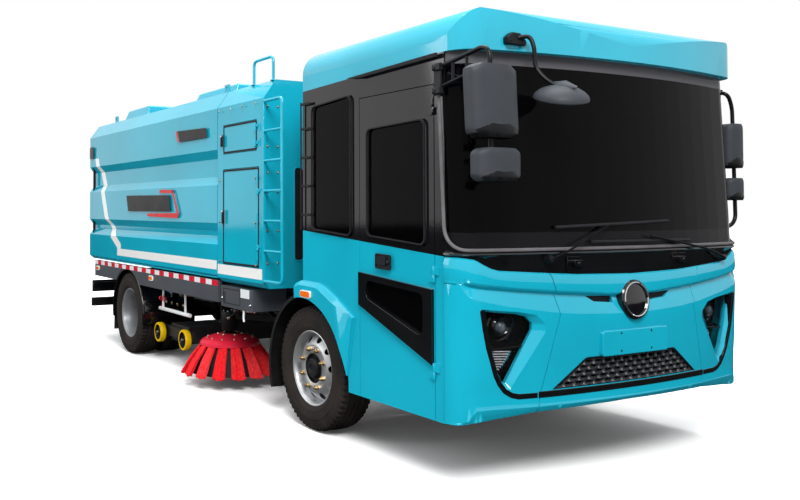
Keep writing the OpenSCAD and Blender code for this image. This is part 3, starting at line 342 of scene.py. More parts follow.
def barrel(centre, outward, half_width, depth):
    """Rim barrel: rolled outer lip, the well, and an inner lip."""
    w = half_width
    points = [(rim_edge_radius, w), (rim_edge_radius + 0.001, w - 0.004),
        (rim_edge_radius - 0.004, w - 0.011), (0.249, w - 0.014), (0.246, w - 0.03), (0.240, w - 0.06),
        (0.232, w - depth), (0.232, -w * 0.6), (0.246, -w + 0.03), (0.249, -w + 0.012),
        (rim_edge_radius, -w + 0.004), (rim_edge_radius, -w), (0.252, -w - 0.001), (0.244, -w + 0.01),
        (0.238, -w + 0.03), (0.226, -w * 0.6), (0.226, w - depth), (0.233, w - 0.06), (0.239, w - 0.03),
        (0.243, w - 0.010), (0.250, w - 0.001), (0.257, w + 0.002)]
    return lathe([(r, y * outward) for r, y in points], centre, 96)


stud_circle_radius = 0.1375
hand_holes = 10
for side, s in sides.items():
    c = wheel_centre[side]
    face_y = 0.098

    def disc_y(r, s=s, face_y=face_y):
        """Flat bolting face, a rounded shoulder, then a flank that falls to the barrel."""
        if r < 0.168:
            return s * face_y
        t = (r - 0.168) / (0.234 - 0.168)
        return s * (face_y - 0.052 * min(1, t) ** 1.2)
    rim_parts = [barrel(c, s, tyre_half_width - 0.022, 0.09), holed_ring(0.170, 0.236, hand_holes, 0.024,
        disc_y, c, 0.1, 0.95)]
    flat = [(0.105, -0.012), (0.105, -0.002), (0.108, 0), (0.160, 0), (0.166, -0.0005), (0.171, -0.003),
        (0.171, -0.014), (0.160, -0.012)]
    rim_parts.append(lathe([(r, s * (face_y + y)) for r, y in flat], c, 96))
    verts, faces = merged(rim_parts)
    obj = shape("front_rim_" + side, verts, faces, silver_lacquer, "front_wheel_" + side, 40)
    nuts = []
    for k in range(8):
        a = math.pi / 8 + k * math.pi / 4
        nuts.append(hexagon_nut((c.x + stud_circle_radius * math.cos(a), c.y + s * face_y,
            c.z + stud_circle_radius * math.sin(a)), s, 0.0155, 0.026))
    verts, faces = merged(nuts)
    obj = shape("front_wheel_nuts_" + side, verts, faces, yellow_zinc, "front_wheel_" + side, 30)
    hub = [(0.104, -0.04), (0.104, 0.0), (0.098, 0.002), (0.094, -0.02), (0.07, -0.022), (0.066, 0.010),
        (0.060, 0.016), (0.030, 0.018), (0.027, 0.012), (0.0005, 0.012), (0.0005, -0.04)]
    verts, faces = lathe([(r, s * (face_y + y)) for r, y in hub], c, 64)
    obj = shape("front_hub_" + side, verts, faces, cast_black, "front_wheel_" + side)
    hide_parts("front_wheel_" + side)

# ---- Rear twin tyres and rims ----
# Two tyres on each side, the outer disc turned inward so that its dish is deep. The grey rims
# are clamped back to back on the driven hub.
# Grey rim paint, slightly chalky.
grey_rim_paint = principled("grey_painted_rim_steel", "#85888b", 0.45, metallic=0.35, coat=0.1,
    vary="#5c5d5f", vary_size_mm=200, vary_amount=0.4, rough_vary=0.08)
for side, s in sides.items():
    lo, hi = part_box("rear_wheels_" + side)
    middle = (lo + hi) / 2
    pitch = (hi.y - lo.y) - 2 * tyre_half_width
    outer = Vector((middle.x, middle.y + s * pitch / 2, middle.z))
    inner = Vector((middle.x, middle.y - s * pitch / 2, middle.z))
    first = tyre("rear_outer_tyre_" + side, outer, s, "rear_wheels_" + side)
    tyre("rear_inner_tyre_" + side, inner, -s, "rear_wheels_" + side)
    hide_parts("rear_wheels_" + side)
    parts = [barrel(outer, s, tyre_half_width - 0.022, 0.09), barrel(inner, -s, tyre_half_width - 0.022,
        0.09)]
    # The disc lies near the middle of the pair
    inset = pitch / 2 - 0.012

    def dish_y(r, s=s, inset=inset):
        t = max(0, min(1, (r - 0.168) / 0.062))
        return s * (-inset + 0.045 * t ** 1.3)
    parts.append(holed_ring(0.170, 0.234, hand_holes, 0.018, dish_y, outer, 0.0, 0.9))
    flat = [(0.09, -0.01), (0.09, 0), (0.160, 0), (0.171, -0.003), (0.171, -0.012), (0.160, -0.01)]
    parts.append(lathe([(r, s * (y - inset)) for r, y in flat], outer, 96))
    verts, faces = merged(parts)
    obj = shape("rear_rims_" + side, verts, faces, grey_rim_paint, "rear_wheels_" + side, 40)
    nuts = [hexagon_nut((outer.x + stud_circle_radius * math.cos(a), outer.y - s * inset,
        outer.z + stud_circle_radius * math.sin(a)), s, 0.0155, 0.03)
        for a in (math.pi / 8 + k * math.pi / 4 for k in range(8))]
    verts, faces = merged(nuts)
    obj = shape("rear_wheel_nuts_" + side, verts, faces, yellow_zinc, "rear_wheels_" + side, 30)
    hub = [(0.09, -0.02), (0.09, 0.03), (0.084, 0.036), (0.080, 0.08), (0.07, 0.092), (0.0005, 0.094),
        (0.0005, -0.02)]
    verts, faces = lathe([(r, s * (y - inset)) for r, y in hub], outer, 64)
    obj = shape("rear_hub_" + side, verts, faces, cast_black, "rear_wheels_" + side)

# ---- Cab skins ----
# Roof moulded in glass fibre, sides and doors pressed in steel, all sprayed with two-pack enamel
# in cyan. Above the belt line the sides are black, so that they run into the dark glass.
def enamel(name, colour, zones=(), gloss=0.06, ior=1.5):
    """Two-pack enamel: even pigment under a hard gloss with a faint orange peel. Each zone is a
    (colour, half spaces) painted over it, a half space (a, b, c, d) being where ax + by + cz > d."""
    material, tree = new_material(name)
    place = add_node(tree, "TexCoord")
    shader = add_node(tree, "BsdfPrincipled", Roughness=gloss, IOR=ior)
    drift = add_node(tree, "TexNoise", links={"Vector": (place, "Object")}, Scale=1.1, Detail=2.0)
    tone = add_node(tree, "MapRange", links={"Value": (drift, "Fac")}, From_Min=0.35, From_Max=0.65,
        To_Min=0.93, To_Max=1.04)
    last = add_node(tree, "Mix", {"data_type": "RGBA", "blend_type": "MULTIPLY"})
    last.inputs[0].default_value = 1.0
    last.inputs[6].default_value = linear(colour)
    tree.links.new(tone.outputs[0], last.inputs[7])
    for paint, halves in zones:
        inside = None
        for a, b, c, d in halves:
            reach = add_node(tree, "VectorMath", {"operation": "DOT_PRODUCT"}, {0: (place, "Object")})
            reach.inputs[1].default_value = (a, b, c)
            step = add_node(tree, "Math", {"operation": "GREATER_THAN"}, {0: (reach, "Value")})
            step.inputs[1].default_value = d
            if inside:
                step = add_node(tree, "Math", {"operation": "MULTIPLY"}, {0: (inside, 0), 1: (step, 0)})
            inside = step
        over = add_node(tree, "Mix", {"data_type": "RGBA"}, {0: (inside, 0), 6: (last, 2)})
        over.inputs[7].default_value = linear(paint)
        last = over
    tree.links.new(last.outputs[2], shader.inputs["Base Color"])
    peel = add_node(tree, "TexNoise", links={"Vector": (place, "Object")}, Scale=1000 / 9, Detail=1.0)
    bump = add_node(tree, "Bump", Strength=0.25, Distance=0.0003, links={"Height": (peel, "Fac")})
    tree.links.new(bump.outputs[0], shader.inputs["Normal"])
    add_node(tree, "OutputMaterial", links={"Surface": (shader, 0)})
    return material


def round_edges(obj, width, segments=2, angle=35, harden=True):
    """Rounds the edges that are sharper than an angle."""
    return modifier(obj, "BEVEL", width=width, segments=segments, limit_method="ANGLE",
        angle_limit=math.radians(angle), harden_normals=harden)


def dress(node, material, bevel=0.0, segments=2, angle=38):
    """Gives a CAD node its finish, and rounds its edges without changing its mesh."""
    obj = nodes[node]
    obj.data.materials.clear()
    obj.data.materials.append(material)
    if bevel:
        modifier(obj, "WELD", merge_threshold=1e-5)
        round_edges(obj, bevel, segments, angle)
    return obj


cyan = "#13a3bc"
band_black = "#101013"
seam_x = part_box("door_right")[1].x + 0.09
cab_back_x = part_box("cab_rear_wall")[0].x
half_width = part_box("door_right")[0].y * -1
belt_rear, belt_front = 1.399, 1.285
belt_slope = (belt_front - belt_rear) / (seam_x - cab_back_x)
above_belt = (-belt_slope, 0, 1, belt_rear - belt_slope * cab_back_x)
cyan_enamel = enamel("cyan_two_pack_enamel", cyan)
cab_enamel = enamel("cyan_and_black_two_pack_enamel", cyan, [(band_black, [above_belt])])
dress("cab_roof", enamel("cyan_gel_coat", cyan, ior=1.6), 0.016, 4)
dress("cab_sides", cab_enamel, 0.003)
for side in sides:
    dress("door_" + side, cab_enamel, 0.003)
dress("cab_rear_wall", enamel("black_two_pack_enamel", band_black), 0.003)
# Tinted laminated glass: nearly black from outside, so the seats show only faintly.
def tinted_glass(name, colour_bands=()):
    """Dark, nearly opaque glass, with other colours on its zones."""
    material = enamel(name, "#040405", colour_bands, gloss=0.03, ior=1.14)
    shader = next(n for n in material.node_tree.nodes if n.type == "BSDF_PRINCIPLED")
    shader.inputs["Alpha"].default_value = 0.9
    return material


side_glass = tinted_glass("tinted_toughened_side_glass")
for node in ("quarter_glass", "door_glass_right", "door_glass_left"):
    dress(node, side_glass)
# The windscreen is lighter grey along its top, and a little lighter than the glass along its foot.
dress("windscreen", tinted_glass("laminated_windscreen_glass",
    [("#58575b", [(0, 0, 1, 2.352)]), ("#17171a", [(0, 0, -1, -1.42)])]))


# ---- Cab side trim ----
# Extruded drip rails, rubber seals round the glass, black louvres behind the quarter windows,
# and a moulded cover round each foot window. They are clipped or bonded to the panels.
def piece(name, parts, material, body, bevel=0.0, angle=35, segments=2):
    """Joins parts into one mesh object with rounded edges."""
    verts, faces = merged(parts)
    obj = shape(name, verts, faces, material, body, angle)
    if bevel:
        round_edges(obj, bevel, segments)
    return obj


# An outline's point and a height along the axis, put in the order x, y, z
axis_order = {"x": lambda a, b, c: (c, a, b), "y": lambda a, b, c: (a, c, b), "z": lambda a, b,
    c: (a, b, c)}


def prism(outline, axis, low, high):
    """Outline extruded along an axis. Its points are (x, z) for axis y, (y, z) for x, (x, y) for z."""
    place = axis_order[axis]
    n = len(outline)
    verts = [place(a, b, low) for a, b in outline] + [place(a, b, high) for a, b in outline]
    faces = [tuple(range(n)), tuple(range(2 * n - 1, n - 1, -1))]
    faces += [(i, (i + 1) % n, (i + 1) % n + n, i + n) for i in range(n)]
    return verts, faces


def slab(low, high):
    """Plain block between two corners, to be given rounded edges."""
    return prism(rectangle(low[0], low[1], high[0], high[1]), "z", low[2], high[2])


def ring(outer, inner, axis, low, high):
    """Frame between two outlines with as many points."""
    place = axis_order[axis]
    n = len(outer)
    verts = [place(a, b, c) for c in (low, high) for outline in (outer, inner) for a, b in outline]
    faces = []
    for i in range(n):
        j = (i + 1) % n
        faces += [(i, j, n + j, n + i), (2 * n + i, 3 * n + i, 3 * n + j, 2 * n + j),
            (i, 2 * n + i, 2 * n + j, j), (n + i, n + j, 3 * n + j, 3 * n + i)]
    return verts, faces


def rounded_outline(points, radius, steps=5):
    """Outline with each corner turned by an arc that touches both sides."""
    result = []
    n = len(points)
    for i in range(n):
        p = Vector(points[i])
        before, after = (Vector(points[i - 1]) - p), (Vector(points[(i + 1) % n]) - p)
        half = before.angle(after) / 2
        cut = min(radius / math.tan(half), before.length * 0.49, after.length * 0.49)
        a, b = p + before.normalized() * cut, p + after.normalized() * cut
        for k in range(steps + 1):
            t = k / steps
            q = a * (1 - t) ** 2 + p * 2 * t * (1 - t) + b * t * t
            result.append(tuple(q))
    return result


def sweep(path, radius, sides_count=12, flat=1.0):
    """Round or oval bar along a path, carried without twist and closed at both ends."""
    path = [Vector(p) for p in path]
    tangents = []
    for i in range(len(path)):
        a, b = path[max(i - 1, 0)], path[min(i + 1, len(path) - 1)]
        tangents.append((b - a).normalized())
    normal = tangents[0].orthogonal().normalized()
    verts = []
    for i, (p, t) in enumerate(zip(path, tangents)):
        normal = (normal - t * normal.dot(t)).normalized()
        other = t.cross(normal)
        r = radius[i] if isinstance(radius, (list, tuple)) else radius
        for k in range(sides_count):
            a = 2 * math.pi * k / sides_count
            verts.append(p + normal * r * math.cos(a) + other * r * flat * math.sin(a))
    m = sides_count
    faces = skin_faces(len(path), m)
    faces.append(tuple(range(m - 1, -1, -1)))
    faces.append(tuple((len(path) - 1) * m + k for k in range(m)))
    return verts, faces


def bent(corners, radius, steps=6):
    """Path through corners, each corner turned by a smooth bend."""
    points = [Vector(c) for c in corners]
    result = [points[0]]
    for i in range(1, len(points) - 1):
        p, before, after = points[i], points[i - 1] - points[i], points[i + 1] - points[i]
        cut = min(radius, before.length * 0.48, after.length * 0.48)
        a, b = p + before.normalized() * cut, p + after.normalized() * cut
        for k in range(steps + 1):
            t = k / steps
            result.append(a * (1 - t) ** 2 + p * 2 * t * (1 - t) + b * t * t)
    return result + [points[-1]]


# Extruded EPDM rubber: matt and slightly grey.
black_rubber = principled("extruded_epdm_rubber", "#17171a", 0.6, bump_mm=0.1, bump_size_mm=2,
    vary="#26262a", vary_size_mm=80, vary_amount=0.6, rough_vary=0.06)
# Moulded ABS with a fine grain: a soft, broad highlight.
black_plastic = principled("grained_black_abs", "#141518", 0.42, bump_mm=0.12, bump_size_mm=1.6,
    vary="#1f2024", vary_size_mm=150, vary_amount=0.6, rough_vary=0.05)
gloss_plastic = principled("polished_black_acrylic", "#0a0a0c", 0.08, vary="#131316", vary_size_mm=200,
    vary_amount=0.5, rough_vary=0.02, ior=1.55)
# Amber polycarbonate over a prism back.
amber_lens = principled("moulded_amber_polycarbonate", "#e0560c", 0.12, coat=0.6, bump_mm=0.5,
    bump_size_mm=5, vary="#f08a1c", vary_size_mm=12, vary_amount=0.7)
white_plastic = principled("moulded_white_abs", "#e4e4e0", 0.4, vary="#cfcfca", vary_size_mm=60,
    vary_amount=0.5, rough_vary=0.05)


def dx(distance):
    """X of a point a given distance ahead of the front axle."""
    return front_axle.x + distance


def belt_z(x):
    """Height of the belt line at x."""
    return belt_rear + belt_slope * (x - cab_back_x)


def roof_line(x):
    """Height of the roof panel's lower edge at x."""
    return 2.378 + (2.424 - 2.378) * (x - cab_back_x) / (seam_x - cab_back_x)


for side, s in sides.items():
    skin = s * half_width
    out = [skin, skin + s * 0.016]
    rail = [(dx(0.56), roof_line(dx(0.56)) - 0.004), (dx(0.70), roof_line(dx(0.70)) - 0.024),
        (dx(1.44), roof_line(dx(1.44)) - 0.026), (dx(1.44), roof_line(dx(1.44)) - 0.002)]
    parts = [prism(rail, "y", *out)]
    # Louvre bars behind the quarter window, on the side above the belt
    bars = [1.50, 1.70, 1.90, 2.10, 2.275]
    for z in bars:
        parts.append(slab((cab_back_x + 0.004, skin - s * 0.001, z),
            (dx(0.094), skin + s * 0.006, z + 0.018)))
    parts.append(slab((cab_back_x, skin - s * 0.001, belt_z(cab_back_x) + 0.004),
        (cab_back_x + 0.012, skin + s * 0.006, 2.30)))
    piece("side_trim_" + side, parts, black_rubber, "truck", 0.002)
    # Seals round the quarter window and the door's upper window
    quarter = [(dx(0.100), belt_z(dx(0.100)) + 0.020), (dx(0.575), belt_z(dx(0.575)) + 0.020),
        (dx(0.575), roof_line(dx(0.575)) - 0.110), (dx(0.100), roof_line(dx(0.100)) - 0.125)]
    door_lo, door_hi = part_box("door_glass_" + side)
    window = [(door_lo.x + 0.007, belt_z(door_lo.x) + 0.042), (door_hi.x + 0.006,
        belt_z(door_hi.x) + 0.042), (door_hi.x + 0.006, 2.066), (door_lo.x + 0.007, 2.050)]
    for label, outline, body in (("quarter", quarter, "truck"), ("door", window, "door_" + side)):
        middle = (Vector(outline[0]) + Vector(outline[1]) + Vector(outline[2]) + Vector(outline[3])) / 4
        wide = rounded_outline([tuple(middle + (Vector(p) - middle) * 1.002) for p in outline], 0.045)
        slim = rounded_outline([tuple(Vector(p) + (middle - Vector(p)).normalized() * 0.009)
            for p in outline], 0.045)
        piece(label + "_window_seal_" + side, [ring(wide, slim, "y", skin - s * 0.012, skin + s * 0.001)],
            black_rubber, body)
    # Cover round the foot window: a gloss black frame with a rounded opening
    cover = [(dx(0.666), 0.947), (dx(1.378), 0.676), (dx(1.378), 1.099), (dx(0.666), 1.153)]
    opening = rounded_outline([(dx(0.748), 0.997), (dx(1.301), 0.818), (dx(1.301), 1.068),
        (dx(0.748), 1.106)], 0.05, 6)
    count = 7
    outline = []
    for i in range(4):
        a, b = Vector(cover[i]), Vector(cover[(i + 1) % 4])
        z = Vector(cover[i - 1])
        for k in range(count):
            t = (k - (count - 1) / 2) / count
            outline.append(tuple(a + ((b - a) if t > 0 else (z - a)) * abs(t) * 0.9))
    piece("foot_window_frame_" + side, [ring(outline, opening, "y", skin - s * 0.056, skin + s * 0.003)],
        gloss_plastic, "door_" + side, 0.001)
    # Door handle: a recessed cup, its flap and a lock barrel
    cup = rounded_outline([(dx(0.850), 1.186), (dx(1.008), 1.180), (dx(1.008), 1.274), (dx(0.850), 1.280)],
        0.016)
    inner = [((px - dx(0.929)) * 0.86 + dx(0.929), (pz - 1.230) * 0.80 + 1.230) for px, pz in cup]
    flap = rounded_outline([(dx(0.872), 1.212), (dx(0.962), 1.209), (dx(0.962), 1.262), (dx(0.872), 1.265)],
        0.01)
    parts = [ring(cup, inner, "y", skin, skin + s * 0.006), prism(inner, "y", skin - s * 0.001,
        skin + s * 0.0015), prism(flap, "y", skin + s * 0.001, skin + s * 0.012)]
    barrel_lock = lathe([(0.0005, 0), (0.013, 0), (0.013, s * 0.010), (0.010, s * 0.012),
        (0.0005, s * 0.012)], (dx(0.982), skin, 1.228), 20)
    piece("door_handle_" + side, parts + [barrel_lock], black_plastic, "door_" + side,
        0.0015)

# ---- Wheel arch flares ----
# Pressed steel lips welded over the front wheel arches, painted with the cab. Each carries an
# amber side marker in a white bezel.
arch_radius = 0.530
arch_z = 0.400
ledge = [(-0.102, 1.000), (-0.030, 1.020), (0.190, 1.014), (0.240, 1.000), (0.392, 0.930), (0.585, 0.845)]
ridge = [(-0.100, 1.030), (-0.028, 1.050), (0.190, 1.046), (0.262, 1.028), (0.410, 0.965), (0.606, 0.856)]
for side, s in sides.items():
    skin = s * half_width
    columns = 26
    verts = []
    for i in range(columns + 1):
        t = i / columns
        a = math.radians(180 - 76) + (math.radians(8) - math.radians(180 - 76)) * t
        arch = (dx(0) + arch_radius * math.cos(a), arch_z + arch_radius * math.sin(a))
        if i == 0:
            arch = (dx(-0.099), 0.918)
        k = t * (len(ledge) - 1)
        j = min(int(k), len(ledge) - 2)
        f = k - j
        low = [dx(0) + ledge[j][0] + (ledge[j + 1][0] - ledge[j][0]) * f,
            ledge[j][1] + (ledge[j + 1][1] - ledge[j][1]) * f]
        top = [dx(0) + ridge[j][0] + (ridge[j + 1][0] - ridge[j][0]) * f,
            ridge[j][1] + (ridge[j + 1][1] - ridge[j][1]) * f]
        reach = 0.024 * min(1, (1 - t) / 0.18)
        column = [(arch[0], skin - s * 0.055, arch[1]), (arch[0], skin + s * reach * 0.9, arch[1]),
            (low[0], skin + s * reach, low[1]), (top[0], skin - s * 0.001, top[1]),
            (top[0], skin - s * 0.055, top[1])]
        verts += column
    n = 5
    faces = skin_faces(columns + 1, n)
    faces.append(tuple(range(n)))
    faces.append(tuple(columns * n + k for k in range(n - 1, -1, -1)))
    flare = shape("arch_flare_" + side, verts, faces, cyan_enamel, "truck", 25)
    round_edges(flare, 0.004, angle=25)
    centre = (dx(0.073), skin + s * 0.027, 0.962)
    oval = rounded_outline([(centre[0] - 0.066, centre[2] - 0.024), (centre[0] + 0.066, centre[2] - 0.026),
        (centre[0] + 0.066, centre[2] + 0.024), (centre[0] - 0.066, centre[2] + 0.026)], 0.018)
    lens = [((px - centre[0]) * 0.88 + centre[0], (pz - centre[2]) * 0.78 + centre[2]) for px, pz in oval]
    piece("side_marker_bezel_" + side, [ring(oval, lens, "y", centre[1] - s * 0.004,
        centre[1] + s * 0.010)], white_plastic, "truck", 0.002)
    piece("side_marker_lens_" + side, [prism(lens, "y", centre[1] - s * 0.003, centre[1] + s * 0.014)],
        amber_lens, "truck", 0.004, segments=3)

# ---- Front fascia ----
# Moulded front panel in three pieces over the nose, sprayed cyan: a rounded top band, an undercut
# crease, a sloping facet below it, and a lip at the bottom. It unclips round lamps and grille.
corner_radius = 0.160
nose_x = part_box("front_fascia")[1].x
corner_y = half_width - corner_radius
nose_radius = (((nose_x - seam_x) ** 2 + corner_y ** 2 - corner_radius ** 2) / (2
    * (nose_x - seam_x - corner_radius)))
nose_centre = nose_x - nose_radius
meeting = math.atan2(corner_y, seam_x - nose_centre)
nose_arc = nose_radius * meeting
half_arc = nose_arc + corner_radius * (math.pi / 2 - meeting)


def arc_at(y):
    """Distance round the nose from its middle to the point at y."""
    a = min(abs(y), half_width)
    if a <= nose_radius * math.sin(meeting):
        along = nose_radius * math.asin(a / nose_radius)
    else:
        turn = math.asin(min(1, (a - corner_y) / corner_radius))
        along = nose_arc + corner_radius * (turn - meeting)
    return math.copysign(along, y)


def around(arc, z, proud=0.0, lean=0.0):
    """Point on the nose at a distance round it, standing proud of it, leaned back above 1.3 m."""
    a = min(abs(arc), half_arc)
    if a <= nose_arc:
        turn = a / nose_radius
        x, y = nose_centre + nose_radius * math.cos(turn), nose_radius * math.sin(turn)
    else:
        turn = meeting + (a - nose_arc) / corner_radius
        x, y = seam_x + corner_radius * math.cos(turn), corner_y + corner_radius * math.sin(turn)
    x, y = x + proud * math.cos(turn), y + proud * math.sin(turn)
    x -= math.tan(lean) * (z - 1.30)
    return Vector((x, math.copysign(y, arc), z))


def along(points, y):
    """Height of a line of (y, z) points, mirrored about the middle."""
    a = abs(y)
    for (y0, z0), (y1, z1) in zip(points, points[1:]):
        if a <= y1:
            return z0 + (z1 - z0) * (a - y0) / (y1 - y0)
    return points[-1][1]


top_line = [(0, 1.170), (0.43, 1.179), (0.61, 1.189), (0.98, 1.212), (1.025, 1.224), (1.08, 1.250),
    (1.124, 1.274), (1.21, 1.287)]
crease_line = [(0, 1.053), (0.2, 1.056), (0.35, 1.068), (0.57, 1.083), (0.86, 1.108), (1.10, 1.136),
    (1.195, 1.153), (1.21, 1.155)]
ridge_line = [(0, 0.946), (0.2, 0.948), (0.45, 0.959), (0.64, 0.978), (0.95, 1.024), (1.10, 1.056),
    (1.156, 1.076), (1.186, 1.138), (1.21, 1.143)]
lip_line = [(0, 0.449), (0.71, 0.450), (1.0, 0.455), (1.118, 0.453), (1.165, 0.400), (1.21, 0.386)]
bottom_line = [(0, 0.428), (0.72, 0.420), (1.0, 0.401), (1.12, 0.388), (1.21, 0.380)]


def fascia_section(y):
    """(z, proud) points down the outside of the fascia and back up its inside, at y."""
    top, crease, ridge = along(top_line, y), along(crease_line, y), along(ridge_line, y)
    lip, bottom = along(lip_line, y), along(bottom_line, y)
    fade = min(1, max(0, (1.196 - abs(y)) / 0.045))
    middle = max(0, 1 - abs(y) / 0.9)
    return [(top, -0.034), (top, -0.010), (top - 0.007, -0.002), (top - 0.030, 0.004),
        (crease + 0.030, 0.006), (crease + 0.008, 0.003 * fade), (crease, -0.003 * fade),
        (crease - 0.010, -0.026 * fade), (crease - 0.016, -0.027 * fade),
        (ridge + 0.004, (0.004 + 0.006 * middle) * fade), (ridge - 0.004, (0.005 + 0.006 * middle) * fade),
        (ridge - 0.08, 0.003 + 0.004 * middle), (0.72, -0.004 * fade), (0.56, -0.016 * fade),
        (0.49, -0.018 * fade), (lip + 0.006, -0.012 * fade), (lip, -0.014 * fade),
        (bottom + 0.004, -0.036 * fade), (bottom, -0.040 * fade), (bottom, -0.070), (0.55, -0.070),
        (0.75, -0.070), (ridge, -0.070), (crease - 0.02, -0.070), (crease + 0.02, -0.050)]


def proud_at(y, z):
    """How far the fascia's outside stands proud at (y, z)."""
    outside = fascia_section(y)[1:19]
    for (z0, p0), (z1, p1) in zip(outside, outside[1:]):
        if z1 <= z <= z0 and z0 > z1:
            return p1 + (p0 - p1) * (z - z1) / (z0 - z1)
    return outside[0][1] if z > outside[0][0] else outside[-1][1]


def on_fascia(y, z, proud=0.0):
    """Point on the fascia's outside at (y, z)."""
    return around(arc_at(y), z, proud_at(y, z) + proud)


def nose_columns(nose_steps=96, corner_steps=14):
    """Distances round the nose of the columns of a wrapped panel."""
    row = [nose_arc * (2 * i / nose_steps - 1) for i in range(nose_steps + 1)]
    turn = [nose_arc + (half_arc - nose_arc) * (i + 1) / corner_steps for i in range(corner_steps)]
    return [-a for a in reversed(turn)] + row + turn


def wrapped(section_at, columns, lean=0.0):
    """Closed panel round the nose: its section at each column is a loop of (z, proud) points."""
    verts = []
    for arc in columns:
        y = around(arc, 1).y
        section = section_at(y)
        verts += [around(arc, z, proud, lean) for z, proud in section]
    n = len(section)
    faces = skin_faces(len(columns), n)
    faces.append(tuple(range(n)))
    faces.append(tuple((len(columns) - 1) * n + k for k in range(n - 1, -1, -1)))
    return verts, faces


def ribbon(path, width, inside, outside, fascia=True):
    """Strip of a given width that follows the fascia along a line of (y, z) points."""
    flat = [Vector((arc_at(y), z)) for y, z in path]
    fine = [flat[0]]
    for a, b in zip(flat, flat[1:]):
        count = max(1, int((b - a).length / 0.03))
        fine += [a + (b - a) * (k + 1) / count for k in range(count)]
    verts = []
    for i, p in enumerate(fine):
        t = (fine[min(i + 1, len(fine) - 1)] - fine[max(i - 1, 0)]).normalized()
        normal = Vector((-t.y, t.x))
        for side, depth in ((-1, inside), (1, inside), (1, outside), (-1, outside)):
            q = p + normal * side * width / 2
            base = proud_at(around(q.x, q.y).y, q.y) if fascia else 0
            verts.append(around(q.x, q.y, base + depth))
    last = (len(fine) - 1) * 4
    return verts, skin_faces(len(fine), 4) + [(0, 1, 2, 3), (last + 3, last + 2, last + 1, last)]


def carved(obj, parts, operation="DIFFERENCE", angle=30):
    """Cuts obj with each closed part, or keeps what lies inside it, and bakes the result."""
    for verts, faces in parts:
        mesh = bpy.data.meshes.new("cutter")
        mesh.from_pydata([tuple(v) for v in verts], [], [tuple(f) for f in faces])
        cleaner = bmesh.new()
        cleaner.from_mesh(mesh)
        bmesh.ops.recalc_face_normals(cleaner, faces=cleaner.faces)
        cleaner.to_mesh(mesh)
        cleaner.free()
        cutter = bpy.data.objects.new("cutter", mesh)
        bpy.context.scene.collection.objects.link(cutter)
        modifier(obj, "BOOLEAN", operation=operation, solver="EXACT", object=cutter)
        bpy.context.view_layer.update()
        result = bpy.data.meshes.new_from_object(obj.evaluated_get(bpy.context.evaluated_depsgraph_get()))
        obj.modifiers.clear()
        obj.data = result
        bpy.data.objects.remove(cutter)
    obj.data.shade_smooth()
    obj.data.set_sharp_from_angle(angle=math.radians(angle))
    return obj


def mirrored(points, s):
    """(y, z) points of one side, for the side s, wound the same way round."""
    return [(y * s, z) for y, z in points] if s > 0 else [(y * s, z) for y, z in reversed(points)]


recess = [(1.097, 1.008), (0.95, 0.993), (0.86, 0.985), (0.745, 0.964), (0.680, 0.908), (0.676, 0.872),
    (0.912, 0.553), (0.952, 0.573), (0.992, 0.655), (1.047, 0.825)]
lamp = [(1.082, 0.994), (0.945, 0.979), (0.862, 0.971), (0.790, 0.954), (0.748, 0.914), (0.751, 0.877),
    (0.924, 0.592), (0.941, 0.603), (0.980, 0.675), (1.034, 0.828)]
slot_outline = [(0.366, 1.052), (0.155, 1.044), (0.155, 1.006), (0.31, 1.018)]
grille_outline = [(-0.620, 0.541), (-0.400, 0.694), (-0.385, 0.703), (-0.365, 0.706), (0.365, 0.706),
    (0.385, 0.703), (0.400, 0.694), (0.620, 0.541)]
seam_line = [(0.645, 1.20), (0.600, 1.08), (0.580, 0.955), (0.700, 0.540), (0.716, 0.470), (0.720, 0.40)]
fascia = piece("front_fascia_panel", [wrapped(fascia_section, nose_columns())], cyan_enamel, "truck",
    angle=24)
cuts = [prism(grille_outline, "x", seam_x, nose_x + 0.2)]
for s in sides.values():
    cuts.append(prism(mirrored(recess, s), "x", seam_x - 0.1, nose_x + 0.2))
    cuts.append(prism(mirrored(slot_outline, s), "x", nose_x - 0.3, nose_x + 0.2))
    cuts.append(ribbon([(y * s, z) for y, z in seam_line], 0.005, -0.012, 0.02))
carved(fascia, cuts, angle=24)
round_edges(fascia, 0.0025, angle=24, harden=False)
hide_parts("front_fascia")

# ---- Fascia trim ----
# Polished black strips clipped into the fascia: one under the grille, one hooked round each lamp,
# with black inserts in the two slots. The badge is a plain black dome in a bright ring.
for label, s in sides.items():
    hook = [(1.089, 1.002), (1.073, 0.90), (1.050, 0.795), (1.003, 0.650), (0.975, 0.598), (0.94, 0.556),
        (0.895, 0.530), (0.85, 0.519), (0.722, 0.517)]
    piece("lamp_hook_trim_" + label, [ribbon([(y * s, z) for y, z in hook], 0.030, -0.045, 0.002)],
        gloss_plastic, "truck", 0.002)
    insert = [(y * s, z) for y, z in ((0.38, 1.066), (0.14, 1.058), (0.14, 0.996), (0.30, 1.004))]
    piece("fascia_slot_insert_" + label, [prism(insert if s > 0 else insert[::-1], "x", nose_x - 0.075,
        nose_x - 0.040)], black_plastic, "truck")
piece("grille_underline", [ribbon([(-0.716, 0.519), (0.716, 0.519)], 0.036, -0.03, 0.003)], gloss_plastic,
    "truck", 0.003)


def turned(profile, place, axis, steps=32):
    """Closed profile of (radius, distance) points turned round an axis from place."""
    axis = Vector(axis).normalized()
    u = axis.orthogonal().normalized()
    v = axis.cross(u)
    verts = []
    for i in range(steps):
        a = 2 * math.pi * i / steps
        out = u * math.cos(a) + v * math.sin(a)
        verts += [Vector(place) + out * r + axis * d for r, d in profile]
    return verts, skin_faces(steps, len(profile), True)


